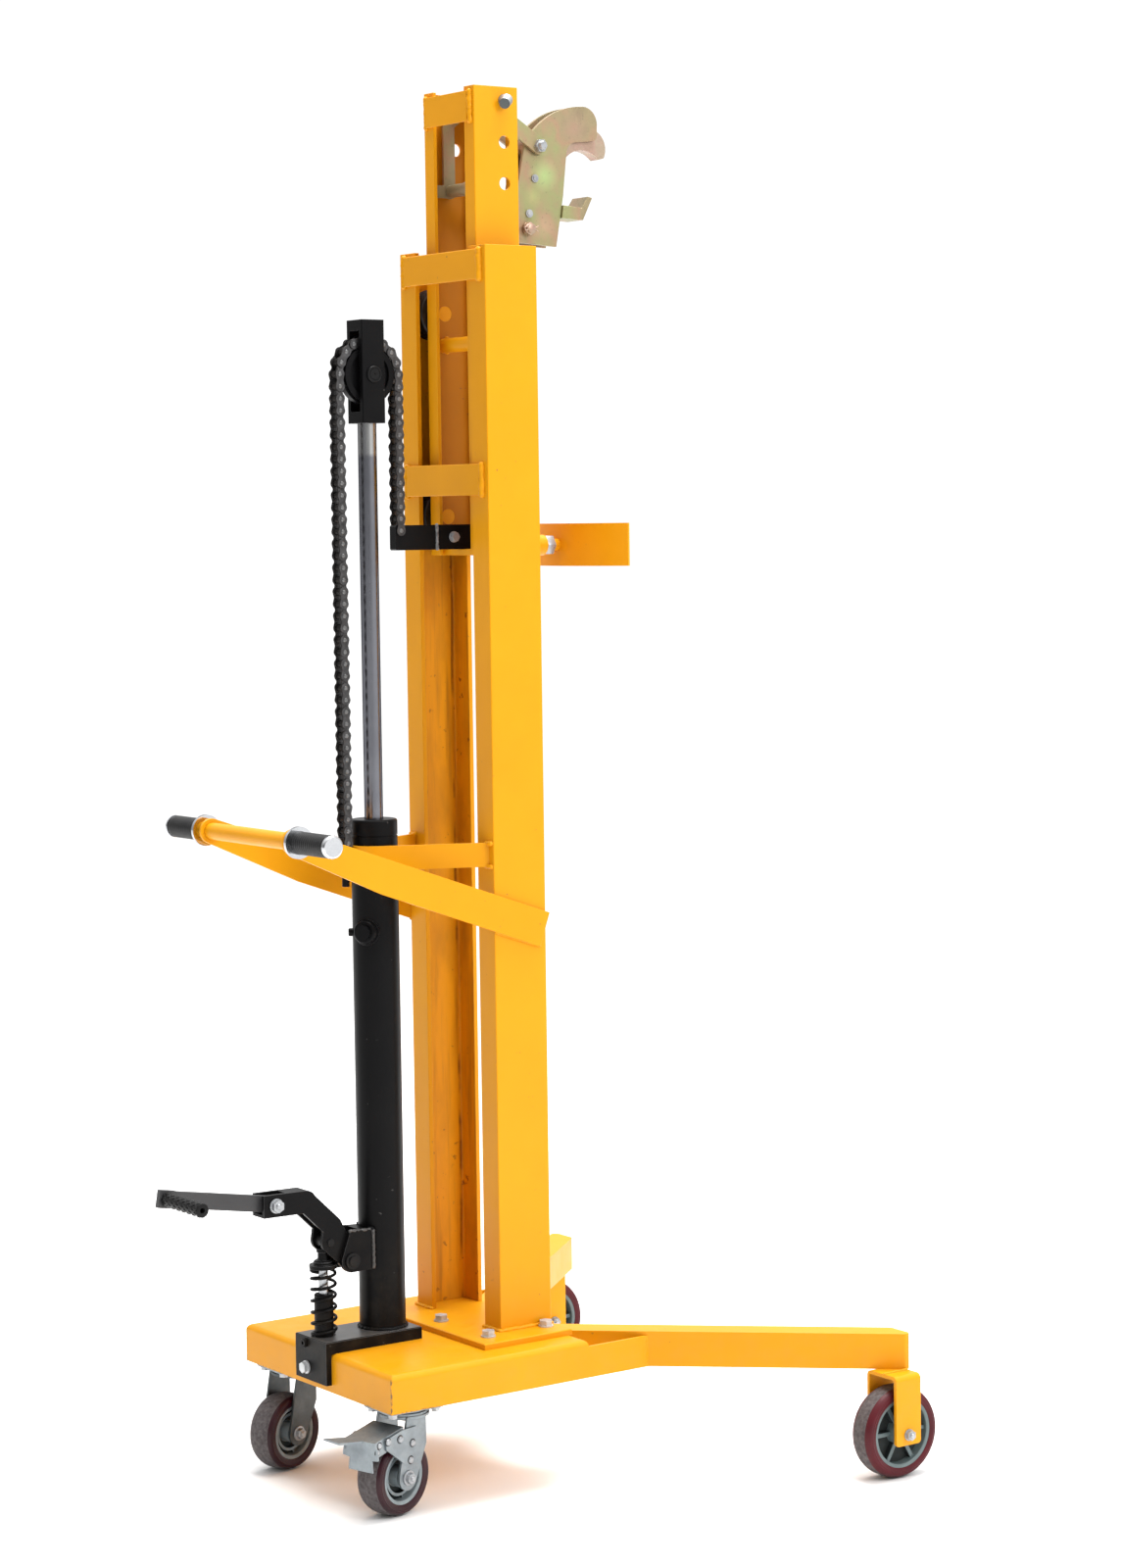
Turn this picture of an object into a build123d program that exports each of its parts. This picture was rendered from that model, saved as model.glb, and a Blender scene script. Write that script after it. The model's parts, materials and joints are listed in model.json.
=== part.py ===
from build123d import *
from math import acos, asin, atan2, cos, degrees, dist, hypot, pi, radians, sin, sqrt
import os

# Drum trolley: a foot-pumped lifter whose beak grips the rim of a steel or plastic drum.
# Millimetres. +X points forward over the legs, +Y to the left, +Z up.
# The origin is on the floor under the middle of the bounding box.
os.makedirs("parts", exist_ok=True)

# Clearances
run_fit = 0.05  # a pin or shaft that turns or slides in its bore, on the radius
bolt_gap = 0.5  # a bolt in its hole, on the radius
slip = 0.4  # faces that pass each other

# Deck: folded sheet, open below
deck_rear = -291.0
deck_length = 378.0
deck_width = 446.0
deck_bottom = 172.0
deck_height = 62.0
deck_sheet = 5.0
deck_bend = 11.0
strip_length = 128.0  # caster strip across the rear, along X
strip_sheet = 6.0
deck_front = deck_rear + deck_length
deck_top = deck_bottom + deck_height

# Legs: splayed box sections, the gussets carry the deck's side walls out to them
leg_splay = 41.2
leg_root_y = 88.0
leg_length = 592.8  # along its middle, to an end cut square to X
leg_width = 46.0
leg_height = 58.0
leg_wall = 4.0
leg_corner = 9.0

# Front wheels and their forks
fork_back = 35.0  # axle behind the leg's end, along X
fork_out = 16.5  # and outside the end's middle, along Y
front_radius = 75.0
front_width = 46.0
fork_plate = 6.0
fork_gap = 60.0  # between the fork's arms
fork_length = 52.0  # along X
fork_drop = 17.0  # of the arms below the axle
front_axle_radius = 6.0
front_axle_x = deck_front + leg_length * cos(radians(leg_splay)) - fork_back
front_wheel_y = leg_root_y + leg_length * sin(radians(leg_splay)) + fork_out

# Rear casters
caster_x = -232.0
caster_y = 166.0
caster_yaw = 15.5  # as they stand in the photograph
caster_trail = 28.0
caster_radius = 62.5
caster_width = 48.0
caster_plate = 6.0
caster_plate_x = 104.0
caster_plate_y = 84.0
caster_bolt_x = 80.0
caster_bolt_y = 60.0
caster_gap = 56.0  # between the fork's legs
caster_sheet = 4.0
caster_axle_radius = 6.0
caster_leg = 44.0  # width of the fork's legs at the crown
caster_eye = 20.0  # round end of the legs
race_radius = 40.0
race_height = 8.0
kingpin_radius = 8.0
brake_sheet = 3.0
brake_hinge = (-49.0, 129.0)  # X and Z in the caster's own frame
brake_rear = -103.0
brake_front = -37.0  # clear of the fork's legs
brake_pin_radius = 4.0

# Mast: two channels on a foot plate
mast_rear = -17.0
mast_depth = 100.0
mast_half = 124.0
mast_flange = 46.0
mast_web = 5.5
mast_flange_sheet = 8.0
mast_top = 1988.0
foot_rear = -85.0
foot_front = 86.0
foot_half = 178.0
foot_sheet = 10.0
foot_bolt_rows = (-51.0, 62.0)
foot_bolt_y = 138.0
mast_foot = deck_top + foot_sheet
cross_sheet = 6.0
cross_half = 106.0
cross_bands = ((1593.0, 50.0), (1934.0, 48.0))  # lower edge and height

# Carriage: the inner frame that climbs in the mast
inner_rear = 1.0
inner_depth = 85.0
inner_half = 72.5
inner_flange = 28.0
inner_web = 5.0
inner_flange_sheet = 6.0
inner_bottom = 1497.0
inner_length = 746.0
inner_cross_half = 60.0
inner_cross_bottom = 2187.0
inner_cross_height = 48.0
tie_bar_radius = 12.0
tie_bar_z = 1838.0
floor_sheet = 10.0
pin_hole_step = 65.5
inner_top = inner_bottom + inner_length
inner_front = inner_rear + inner_depth
roller_radius = (mast_depth - 2 * mast_flange_sheet) / 2 - 0.5
roller_width = 38.0
roller_pin_radius = 12.5
roller_heights = (1560.0, 1890.0)
roller_x = mast_rear + mast_depth / 2

# Cylinder, rod and pulley yoke
cylinder_x = -164.0
tube_radius = 37.5
bore_radius = 31.5
head_length = 55.0
plug_z = 900.0
plug_turn = 33.0  # from the rear towards the right
plug_radius = 19.0
plug_rise = 8.0
rod_radius = 15.0
piston_height = 36.0
piston_rest = 86.4  # left under the piston when the carriage is down
piston_stop = 38.0  # left over it when the carriage is up
yoke_bottom = 1709.0
yoke_height = 163.0
yoke_x = 42.0
yoke_y = 46.0
yoke_floor = 18.0
yoke_roof = 17.0
yoke_slot = 29.0
pulley_z = 1786.0
pulley_axle_radius = 8.0

# Roller chain, three quarter inch pitch
pitch = 19.05
wrap_links = 9
lift_links = 64  # links that the carriage climbs by
back_links = 39
front_links = 13
plate_half_height = 8.5
plate_sheet = 2.4
inner_plate_y = 6.3  # inside face of the inner plates
chain_roller_radius = 5.95
chain_pin_radius = 3.0
chain_head = 0.9
chain_radius = pitch / (2 * sin(pi / (2 * wrap_links)))
outer_plate_y = inner_plate_y + plate_sheet
chain_back_x = cylinder_x - chain_radius
chain_front_x = cylinder_x + chain_radius

# Pump: base bar, barrel, plunger, return spring
base_rear = deck_rear - 10.0
base_front = -119.0
base_half = 47.0
base_height = 20.0
base_lip_bottom = 184.0
base_bolt = (13.0, 204.0)  # Y and Z on the rear lip
release_at = (16.0, 243.0)
release_radius = 7.0
pump_x = -275.0
barrel_radius = 15.5
barrel_height = 68.0
plunger_radius = 7.7
cap_radius = 22.5
cap_height = 14.0
cap_step = 7.5
spring_wire = 2.0
spring_outer = 21.3
spring_turns = 8
spring_length = 109.0
base_top = deck_top + base_height
cap_bottom = base_top + spring_length + slip
cap_top = cap_bottom + cap_height

# Heights that follow the travel: the rod moves half as far as the carriage
piston_bottom = base_top + piston_rest + lift_links * pitch / 2
tube_top = piston_bottom + piston_height + piston_stop
head_top = tube_top + head_length

# Foot lever and pedal
pivot_x = -236.0
pivot_z = 374.0
pivot_radius = 8.0
cam_x = -271.0
cam_z = 407.0
cam_radius = 11.0
knee = (-266.0, 432.0)
elbow = (-314.0, 478.0)
fold_at = (-370.0, 479.0)
lever_half = 18.0
lever_sheet = 6.0
lever_height = 36.0
lever_rear = -392.0
pedal_press = 24.0
pedal_at = (-557.0, 511.0)
arm_half = 5.0
arm_height = 26.0
arm_end = 27.8  # square end that takes the pedal bar
pedal_bar_radius = 11.5
pedal_bar_length = 121.0
lug_sheet = 8.0
lug_bottom = 356.0
lug_height = 64.0
lug_eye = 19.0

# Push handle
handle_x = -391.0
handle_z = 1065.0
handle_radius = 13.5
handle_half = 240.0
handle_arm_sheet = 6.0
handle_eye = 20.0
grip_radius = 17.0
grip_start = 141.0
grip_ring_radius = 25.0
grip_ring_width = 6.0
grip_cap_length = 6.0

# Gripper
hang_at = (59.0, 2221.0)
hang_radius = 10.0
link_run = (101.0, -62.0)  # both links, from the carriage to the head
lower_at = (39.0, 2087.0)
link_sheet = 6.0
link_width = 27.0
head_sheet = 6.0
head_gap = 24.0  # between the side plates
head_bolt_radius = 7.0
lower_pin_radius = 8.0
strap_in = 54.0  # inside face of the straps between the pins
strap_sheet = 5.0
beak_half = 11.4
head_at = (hang_at[0] + link_run[0], hang_at[1] + link_run[1])
tail_at = (lower_at[0] + link_run[0], lower_at[1] + link_run[1])

# Drum rest
rest_radius = 290.0
rest_back = 209.0  # X of its middle, on the drum's side
rest_sheet = 6.0
rest_half = 143.0
rest_bottom = 1476.0
rest_height = 70.0
sleeve_radius = 17.0
sleeve_length = 82.0
stud_radius = 10.0
rest_nut = 16.0


def save(builder, label):
    builder.part.label = label
    export_step(builder.part, f"parts/{label}.step")


def hex_bolt(flats, head, washer, shank, length, nut):
    """A bolt along +Z with its washer's underside at Z 0 and its nut below the clamped length."""
    with BuildPart(mode=Mode.PRIVATE) as bolt:
        with BuildSketch():
            Circle(washer)
        extrude(amount=2.5)
        with BuildSketch(Plane.XY.offset(2.5)):
            RegularPolygon(flats / 2, 6, major_radius=False)
        extrude(amount=head)
        with BuildSketch():
            Circle(shank)
        extrude(amount=-length)
        if nut:
            with BuildSketch(Plane.XY.offset(-length)):
                RegularPolygon(flats / 2, 6, major_radius=False)
            extrude(amount=-nut)
    return bolt.part


def side_plane(y):
    """The XZ plane at that Y: its sketches read X and Z, and extrude towards -Y."""
    return Plane.XZ.offset(-y)


def strut(start, end, height):
    """A straight round-ended bar between two points of a sketch."""
    middle = ((start[0] + end[0]) / 2, (start[1] + end[1]) / 2)
    angle = degrees(atan2(end[1] - start[1], end[0] - start[0]))
    with Locations(middle):
        SlotCenterToCenter(dist(start, end), height, rotation=angle)


# Chassis: deck, legs, forks

leg_along = (cos(radians(leg_splay)), sin(radians(leg_splay)))


def leg_corner_at(along, across):
    """A point of the left leg's plan: across is positive on its outer side."""
    x = deck_front + along * leg_along[0] - across * leg_along[1]
    return (x, leg_root_y + along * leg_along[1] + across * leg_along[0])


def leg_plan(width, length):
    """The left leg's plan, cut at both ends along Y."""
    half = width / 2
    lean = half * leg_along[1] / leg_along[0]
    return [
        leg_corner_at(lean, half),
        leg_corner_at(length + lean, half),
        leg_corner_at(length - lean, -half),
        leg_corner_at(-lean, -half),
    ]


def leg_outer_x(y):
    """X of the left leg's outer face at that Y."""
    across = leg_width / 2
    along = (y - leg_root_y - across * leg_along[0]) / leg_along[1]
    return leg_corner_at(along, across)[0]


deck_bolt_places = [(x, y) for x in foot_bolt_rows for y in (-foot_bolt_y, 0, foot_bolt_y)]
caster_places = [(caster_x, caster_y), (caster_x, -caster_y)]

with BuildPart() as base_deck:
    with BuildSketch(Plane.XY.offset(deck_bottom)):
        with Locations((deck_rear + deck_length / 2, 0)):
            Rectangle(deck_length, deck_width)
    extrude(amount=deck_height)
    fillet(base_deck.faces().sort_by(Axis.Z)[-1].edges(), deck_bend)
    offset(amount=-deck_sheet, openings=base_deck.faces().sort_by(Axis.Z)[0])
    with BuildSketch(Plane.XY.offset(deck_bottom)):
        with Locations((deck_rear + deck_sheet + strip_length / 2, 0)):
            Rectangle(strip_length, deck_width - 2 * deck_sheet)
    extrude(amount=strip_sheet)
    outer, inside = deck_width / 2, deck_width / 2 - deck_sheet
    for side in (1, -1):
        with BuildSketch(Plane.XY.offset(deck_bottom)):
            Polygon(
                (deck_front, side * inside),
                (leg_outer_x(inside), side * inside),
                (leg_outer_x(outer), side * outer),
                (deck_front, side * outer),
                align=None,
            )
        extrude(amount=leg_height - 7)
    with Locations(*[(x, y, deck_top) for x, y in deck_bolt_places]):
        Hole(6 + bolt_gap, depth=2 * deck_sheet)
    for x, y in caster_places:
        with Locations((x, y, deck_bottom)):
            with GridLocations(caster_bolt_x, caster_bolt_y, 2, 2):
                Hole(4 + bolt_gap, depth=4 * strip_sheet)
    with Locations(Plane((deck_rear, base_bolt[0], base_bolt[1]), z_dir=(-1, 0, 0))):
        Hole(5 + bolt_gap, depth=2 * deck_sheet)
save(base_deck, "base_deck")

with BuildPart() as leg_left:
    with BuildSketch(Plane.XY.offset(deck_bottom)):
        Polygon(*leg_plan(leg_width, leg_length), align=None)
    extrude(amount=leg_height)
    tip = leg_corner_at(leg_length, 0)
    end_edges = leg_left.edges().filter_by(Axis.Z).sort_by_distance((tip[0], tip[1], deck_bottom))[:2]
    fillet(end_edges, leg_corner)
    with BuildSketch(Plane.XY.offset(deck_bottom + leg_wall)):
        Polygon(*leg_plan(leg_width - 2 * leg_wall, leg_length - 2 * leg_wall), align=None)
    extrude(amount=leg_height - 2 * leg_wall, mode=Mode.SUBTRACT)
save(leg_left, "leg_left")

with BuildPart() as leg_right:
    mirror(leg_left.part, about=Plane.XZ)
save(leg_right, "leg_right")

fork_half = fork_gap / 2 + fork_plate


def fork(side):
    """An inverted U of flat bar under a leg's end."""
    with BuildPart() as frame:
        with BuildSketch(Plane.YZ.offset(front_axle_x - fork_length / 2)):
            bottom = front_radius - fork_drop
            with Locations((side * front_wheel_y, (bottom + deck_bottom) / 2)):
                Rectangle(2 * fork_half, deck_bottom - bottom)
            with Locations((side * front_wheel_y, (bottom + deck_bottom - fork_plate) / 2)):
                Rectangle(fork_gap, deck_bottom - fork_plate - bottom, mode=Mode.SUBTRACT)
        extrude(amount=fork_length)
        bends = frame.edges().filter_by(Axis.X)
        fillet(bends.group_by(Axis.Z)[-1], fork_plate + 3)
        fillet(bends.group_by(Axis.Z)[-2], 3)
        fillet(frame.edges().filter_by(Axis.Y).group_by(Axis.Z)[0], 6)
        with Locations(Plane((front_axle_x, side * front_wheel_y, front_radius), z_dir=(0, 1, 0))):
            Hole(front_axle_radius + bolt_gap)
    return frame


fork_left = fork(1)
save(fork_left, "fork_left")
fork_right = fork(-1)
save(fork_right, "fork_right")

with BuildPart() as front_axle_bolts:
    for side in (1, -1):
        face = Plane((front_axle_x, side * (front_wheel_y + fork_half), front_radius), z_dir=(0, side, 0))
        with Locations(face):
            add(hex_bolt(19, 9, 12, front_axle_radius, 2 * fork_half, 10))
        collar = Plane((front_axle_x, side * front_wheel_y, front_radius), z_dir=(0, 1, 0))
        for way in (1, -1):
            with BuildSketch(collar.offset(way * (front_width / 2 - 2 + slip))):
                Circle(10)
            extrude(amount=way * (fork_gap / 2 - front_width / 2 + 2 - slip))
save(front_axle_bolts, "front_axle_bolts")

# Wheels


def tread_profile(radius, width):
    """Half of a wheel's section in the XY sketch plane: X is the radius, Y runs across the wheel."""
    return [
        (0.66 * radius, 0),
        (radius, 0),
        (radius, 0.26 * width),
        (radius - 0.035 * radius, 0.4 * width),
        (radius - 0.1 * radius, 0.5 * width),
        (0.76 * radius, 0.5 * width),
        (0.76 * radius, 0.44 * width),
        (0.66 * radius, 0.44 * width),
    ]


def wheel(place, axis, radius, width, axle, spokes):
    """A polyurethane tread bonded on a plastic hub: spoked, or dished when spokes is 0."""
    plane = Plane(origin=place, x_dir=(0, 0, 1), z_dir=axis)
    with BuildPart() as disc:
        with BuildSketch(Plane(origin=place, x_dir=(0, 0, 1), z_dir=plane.x_dir.cross(plane.z_dir))):
            Polygon(*tread_profile(radius, width), align=None)
            mirror(about=Plane.XZ)
            boss = 0.27 * radius
            with Locations((boss / 2, 0)):
                Rectangle(boss, width - 4)
            if not spokes:
                Polygon((0, -4), (0.7 * radius, -4), (0.7 * radius, 4), (0, 4), align=None)
                with Locations((0.45 * radius, 0)):
                    Rectangle(5, 0.6 * width)
        revolve(axis=Axis(place, axis))
        if spokes:
            with BuildSketch(plane):
                with PolarLocations(0.47 * radius, spokes):
                    Rectangle(0.44 * radius, 7)
            extrude(amount=0.36 * width, both=True)
            with BuildSketch(plane):
                Circle(0.7 * radius)
            extrude(amount=2, both=True)
        with BuildSketch(plane):
            Circle(axle + run_fit)
        extrude(amount=width, both=True, mode=Mode.SUBTRACT)
    return disc


front_places = {"left": 1, "right": -1}
for name, side in front_places.items():
    hub = wheel(
        (front_axle_x, side * front_wheel_y, front_radius), (0, 1, 0),
        front_radius, front_width, front_axle_radius, 6,
    )
    save(hub, f"front_wheel_{name}")

# Casters: built straight about their swivel, then turned to the yaw of the photograph


def swivel_frame(side):
    """The caster's own frame: origin on the floor under the swivel, X forward, wheel trailing to -X."""
    return Location((caster_x, side * caster_y, 0), (0, 0, caster_yaw))


plate_bottom = deck_bottom - caster_plate
crown_top = plate_bottom - race_height
crown_bottom = crown_top - caster_sheet
fork_side = caster_gap / 2 + caster_sheet

with BuildPart() as caster_plates:
    for side in (1, -1):
        with BuildSketch(Plane.XY.offset(plate_bottom)):
            with Locations((caster_x, side * caster_y)):
                RectangleRounded(caster_plate_x, caster_plate_y, 10)
                with GridLocations(caster_bolt_x, caster_bolt_y, 2, 2):
                    Circle(4 + bolt_gap, mode=Mode.SUBTRACT)
        extrude(amount=caster_plate)
        with BuildSketch(Plane.XY.offset(plate_bottom)):
            with Locations((caster_x, side * caster_y)):
                Circle(race_radius - 5)
        extrude(amount=-race_height / 2 + slip / 2)
        with BuildSketch(Plane.XY.offset(plate_bottom)):
            with Locations((caster_x, side * caster_y)):
                Circle(kingpin_radius)
        extrude(amount=crown_bottom - slip - plate_bottom)
        with BuildSketch(Plane.XY.offset(crown_bottom - slip)):
            with Locations((caster_x, side * caster_y)):
                RegularPolygon(kingpin_radius + 4, 6, major_radius=False)
        extrude(amount=-8)
save(caster_plates, "caster_plates")


def caster_fork(side, braked):
    """Crown with the ball race, two pressed legs and, on the braked one, the pedal's side plates."""
    with BuildPart() as body:
        leg_front = caster_leg - 28
        with BuildSketch(Plane.XY.offset(crown_bottom)):
            Circle(race_radius)
            with Locations((leg_front - caster_leg / 2, 0)):
                Rectangle(caster_leg, 2 * fork_side)
        extrude(amount=caster_sheet)
        with BuildSketch(Plane.XY.offset(crown_top)):
            Circle(race_radius - 2)
        extrude(amount=race_height / 2 - slip / 2)
        with BuildSketch(Plane.XY.offset(crown_bottom)):
            Circle(kingpin_radius + run_fit)
        extrude(amount=race_height + caster_sheet, mode=Mode.SUBTRACT)
        for way in (1, -1):
            with BuildSketch(side_plane(way * fork_side)):
                with BuildLine():
                    Polyline((leg_front, crown_top), (leg_front - caster_leg, crown_top), (leg_front, 110), close=True)
                    CenterArc((-caster_trail, caster_radius), caster_eye, 0, 360)
                make_hull()
                with Locations((-caster_trail, caster_radius)):
                    Circle(caster_axle_radius + bolt_gap, mode=Mode.SUBTRACT)
            extrude(amount=way * caster_sheet)
            if braked:
                with BuildSketch(side_plane(way * (fork_side + brake_sheet))):
                    Polygon((-10, 142), (-44, 142), (-82, 134), (-80, 118), (-40, 88), (-18, 82), align=None)
                    with Locations(brake_hinge):
                        Circle(brake_pin_radius + run_fit, mode=Mode.SUBTRACT)
                extrude(amount=way * brake_sheet)
                with BuildSketch(side_plane(way * (fork_side + brake_sheet + 2))):
                    with Locations((-20, 117), (-25, 91)):
                        Circle(4)
                extrude(amount=way * 2)
    body.part.location = swivel_frame(side)
    return body


def caster_axle(side):
    """The axle bolt with its two collars."""
    with BuildPart() as bolt:
        with Locations(Plane((-caster_trail, -fork_side, caster_radius), z_dir=(0, -1, 0))):
            add(hex_bolt(19, 8, 11, caster_axle_radius, 2 * fork_side, 9))
        middle = Plane((-caster_trail, 0, caster_radius), z_dir=(0, 1, 0))
        for way in (1, -1):
            with BuildSketch(middle.offset(way * (caster_width / 2 - 2 + slip))):
                Circle(10)
            extrude(amount=way * (caster_gap - caster_width + 4 - 2 * slip) / 2)
    bolt.part.location = swivel_frame(side)
    return bolt


for name, side in front_places.items():
    caster_body = caster_fork(side, braked=(name == "right"))
    save(caster_body, f"caster_{name}_fork")
    axle = caster_axle(side)
    save(axle, f"caster_{name}_axle")
    turned = radians(caster_yaw)
    place = (
        caster_x - caster_trail * cos(turned),
        side * caster_y - caster_trail * sin(turned),
        caster_radius,
    )
    rim = wheel(place, (-sin(turned), cos(turned), 0), caster_radius, caster_width, caster_axle_radius, 0)
    save(rim, f"caster_{name}_wheel")

brake_half = fork_side - slip
brake_top = brake_hinge[1] + 14

with BuildPart() as brake_pedal:
    # tread plate sloping down to the rear, with cheeks, a flared lip and a notched release tab
    with BuildSketch(side_plane(brake_half)):
        Polygon(
            (brake_front, brake_top), (brake_rear, brake_top - 13), (brake_rear, brake_top - 10),
            (brake_front, brake_top + 3), align=None,
        )
    extrude(amount=2 * brake_half)
    for way in (1, -1):
        with BuildSketch(side_plane(way * brake_half)):
            Polygon(
                (brake_front, brake_top + 1), (brake_front - 5, 123), (-54, 119), (brake_rear, 108),
                (brake_rear, brake_top - 12), align=None,
            )
        extrude(amount=way * brake_sheet)
    with BuildSketch(Plane.XY.offset(brake_top - 13)):
        Polygon(
            (brake_rear + 2, -6), (brake_rear + 2, brake_half), (brake_rear - 25, 54), (brake_rear - 32, 14), align=None
        )
    extrude(amount=brake_sheet)
    with BuildSketch(Plane.YZ.offset(brake_rear)):
        with BuildLine():
            Polyline(
                (brake_half, brake_top - 11), (brake_half + 5, 112), (brake_half + 5, 106), (23, 104), (25, 85),
                (-25, 85), (-23, 104), (-brake_half - 5, 106), (-brake_half - 5, 112), (-brake_half, brake_top - 11),
                close=True,
            )
        make_face()
    extrude(amount=brake_sheet)
    with BuildSketch(Plane.XZ):
        with Locations(brake_hinge):
            Circle(brake_pin_radius)
    extrude(amount=fork_side + brake_sheet + 3, both=True)
brake_pedal.part.location = swivel_frame(-1)
save(brake_pedal, "brake_pedal")

# Mast

with BuildPart() as mast_foot_plate:
    with BuildSketch(Plane.XY.offset(deck_top)):
        with Locations(((foot_rear + foot_front) / 2, 0)):
            Rectangle(foot_front - foot_rear, 2 * foot_half)
    extrude(amount=foot_sheet)
    chamfer(mast_foot_plate.faces().sort_by(Axis.Z)[-1].edges(), 1.5)
    with Locations(*[(x, y, mast_foot) for x, y in deck_bolt_places]):
        Hole(6 + bolt_gap)
save(mast_foot_plate, "mast_foot_plate")

with BuildPart() as deck_bolts:
    foot_bolt = hex_bolt(19, 8, 12, 6, foot_sheet + deck_sheet, 10)
    with Locations(*[(x, y, mast_foot) for x, y in deck_bolt_places]):
        add(foot_bolt)
    lip_bolt = hex_bolt(16, 7, 10.5, 5, deck_rear - base_rear + deck_sheet, 8)
    with Locations(Plane((base_rear, base_bolt[0], base_bolt[1]), z_dir=(-1, 0, 0))):
        add(lip_bolt)
    plate_bolt = hex_bolt(13, 5, 8, 4, caster_plate + strip_sheet, 6.5)
    for x, y in caster_places:
        for dx, dy in ((1, 1), (1, -1), (-1, 1), (-1, -1)):
            spot = (x + dx * caster_bolt_x / 2, y + dy * caster_bolt_y / 2, plate_bottom)
            with Locations(Plane(spot, z_dir=(0, 0, -1))):
                add(plate_bolt)
save(deck_bolts, "deck_bolts")


def channel(rear, depth, half, flange, web, flange_sheet, bottom, top):
    """The left one of a pair of channels, web outwards."""
    with BuildPart(mode=Mode.PRIVATE) as section:
        with BuildSketch(Plane.XY.offset(bottom)):
            with Locations((rear + depth / 2, half - flange / 2)):
                Rectangle(depth, flange)
            with Locations((rear + depth / 2, half - web - flange / 2)):
                Rectangle(depth - 2 * flange_sheet, flange, mode=Mode.SUBTRACT)
        extrude(amount=top - bottom)
        roots = section.edges().filter_by(Axis.Z).filter_by_position(Axis.Y, half - web - 0.1, half - web + 0.1)
        fillet(roots, 4)
        fillet(section.edges().filter_by(Axis.Z).filter_by_position(Axis.Y, half - 0.1, half + 0.1), 2)
    return section.part


mast_section = channel(
    mast_rear, mast_depth, mast_half, mast_flange, mast_web, mast_flange_sheet, mast_foot, mast_top
)
with BuildPart() as mast_channel_left:
    add(mast_section)
save(mast_channel_left, "mast_channel_left")

with BuildPart() as mast_channel_right:
    mirror(mast_section, about=Plane.XZ)
save(mast_channel_right, "mast_channel_right")

with BuildPart() as mast_crossbars:
    for bottom, height in cross_bands:
        with BuildSketch(Plane.XY.offset(bottom)):
            with Locations((mast_rear - cross_sheet / 2, 0)):
                Rectangle(cross_sheet, 2 * cross_half)
        extrude(amount=height)
    chamfer(mast_crossbars.faces().sort_by(Axis.X)[:2].edges().filter_by(Axis.Y), 1)
save(mast_crossbars, "mast_crossbars")

# Cylinder and pump

with BuildPart() as pump_base:
    with BuildSketch(side_plane(base_half)):
        Polygon(
            (base_rear, base_lip_bottom), (deck_rear, base_lip_bottom), (deck_rear, deck_top),
            (base_front, deck_top), (base_front, base_top), (base_rear, base_top), align=None,
        )
    extrude(amount=2 * base_half)
    chamfer(pump_base.faces().sort_by(Axis.Z)[-1].edges(), 1.5)
    lip = Plane((base_rear, base_bolt[0], base_bolt[1]), z_dir=(-1, 0, 0))
    with Locations(lip):
        Hole(5 + bolt_gap, depth=deck_rear - base_rear + 1)
    valve = Plane((base_rear, release_at[0], release_at[1]), z_dir=(-1, 0, 0))
    with BuildSketch(valve):
        Circle(release_radius + slip)
    extrude(amount=-14, mode=Mode.SUBTRACT)
save(pump_base, "pump_base")

with BuildPart() as release_screw:
    with BuildSketch(valve.offset(-13.6)):
        Circle(release_radius)
    extrude(amount=19)
    chamfer(release_screw.faces().sort_by(Axis.X)[0].edges(), 1)
    with BuildSketch(Plane(release_screw.faces().sort_by(Axis.X)[0])):
        RegularPolygon(3, 6, major_radius=False)
    extrude(amount=-4, mode=Mode.SUBTRACT)
save(release_screw, "release_screw")

with BuildPart() as cylinder_tube:
    with BuildSketch(Plane.XY.offset(base_top)):
        with Locations((cylinder_x, 0)):
            Circle(tube_radius)
    extrude(amount=tube_top - base_top)
    with BuildSketch(Plane.XY.offset(base_top + 12)):
        with Locations((cylinder_x, 0)):
            Circle(bore_radius)
    extrude(amount=tube_top - base_top - 12, mode=Mode.SUBTRACT)
    # filler plug in a boss that is welded to the tube
    plug = Plane((cylinder_x, 0, plug_z), z_dir=(-cos(radians(plug_turn)), -sin(radians(plug_turn)), 0))
    with BuildSketch(plug.offset(bore_radius + 1)):
        Circle(plug_radius)
    extrude(amount=tube_radius - bore_radius + plug_rise - 1)
    fillet(cylinder_tube.edges().filter_by(GeomType.CIRCLE).sort_by_distance(
        plug.offset(tube_radius + plug_rise).origin)[0], 4)
    with BuildSketch(plug.offset(tube_radius)):
        Circle(plug_radius - 7)
    extrude(amount=plug_rise + 5)
save(cylinder_tube, "cylinder_tube")

with BuildPart() as cylinder_head:
    with BuildSketch(Plane.XY.offset(tube_top)):
        with Locations((cylinder_x, 0)):
            Circle(tube_radius)
    extrude(amount=head_top - tube_top)
    fillet(cylinder_head.faces().sort_by(Axis.Z)[-1].edges(), 4)
    with BuildSketch(Plane.XY.offset(tube_top - 24)):
        with Locations((cylinder_x, 0)):
            Circle(bore_radius - slip)
    extrude(amount=24)
    with BuildSketch(Plane.XY.offset((tube_top + head_top) / 2)):
        with Locations((cylinder_x, 0)):
            Circle(tube_radius + 1)
            Circle(tube_radius - 1.5, mode=Mode.SUBTRACT)
    extrude(amount=2.5, mode=Mode.SUBTRACT)
    with Locations((cylinder_x, 0, head_top)):
        Hole(rod_radius + run_fit)
save(cylinder_head, "cylinder_head")

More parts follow.
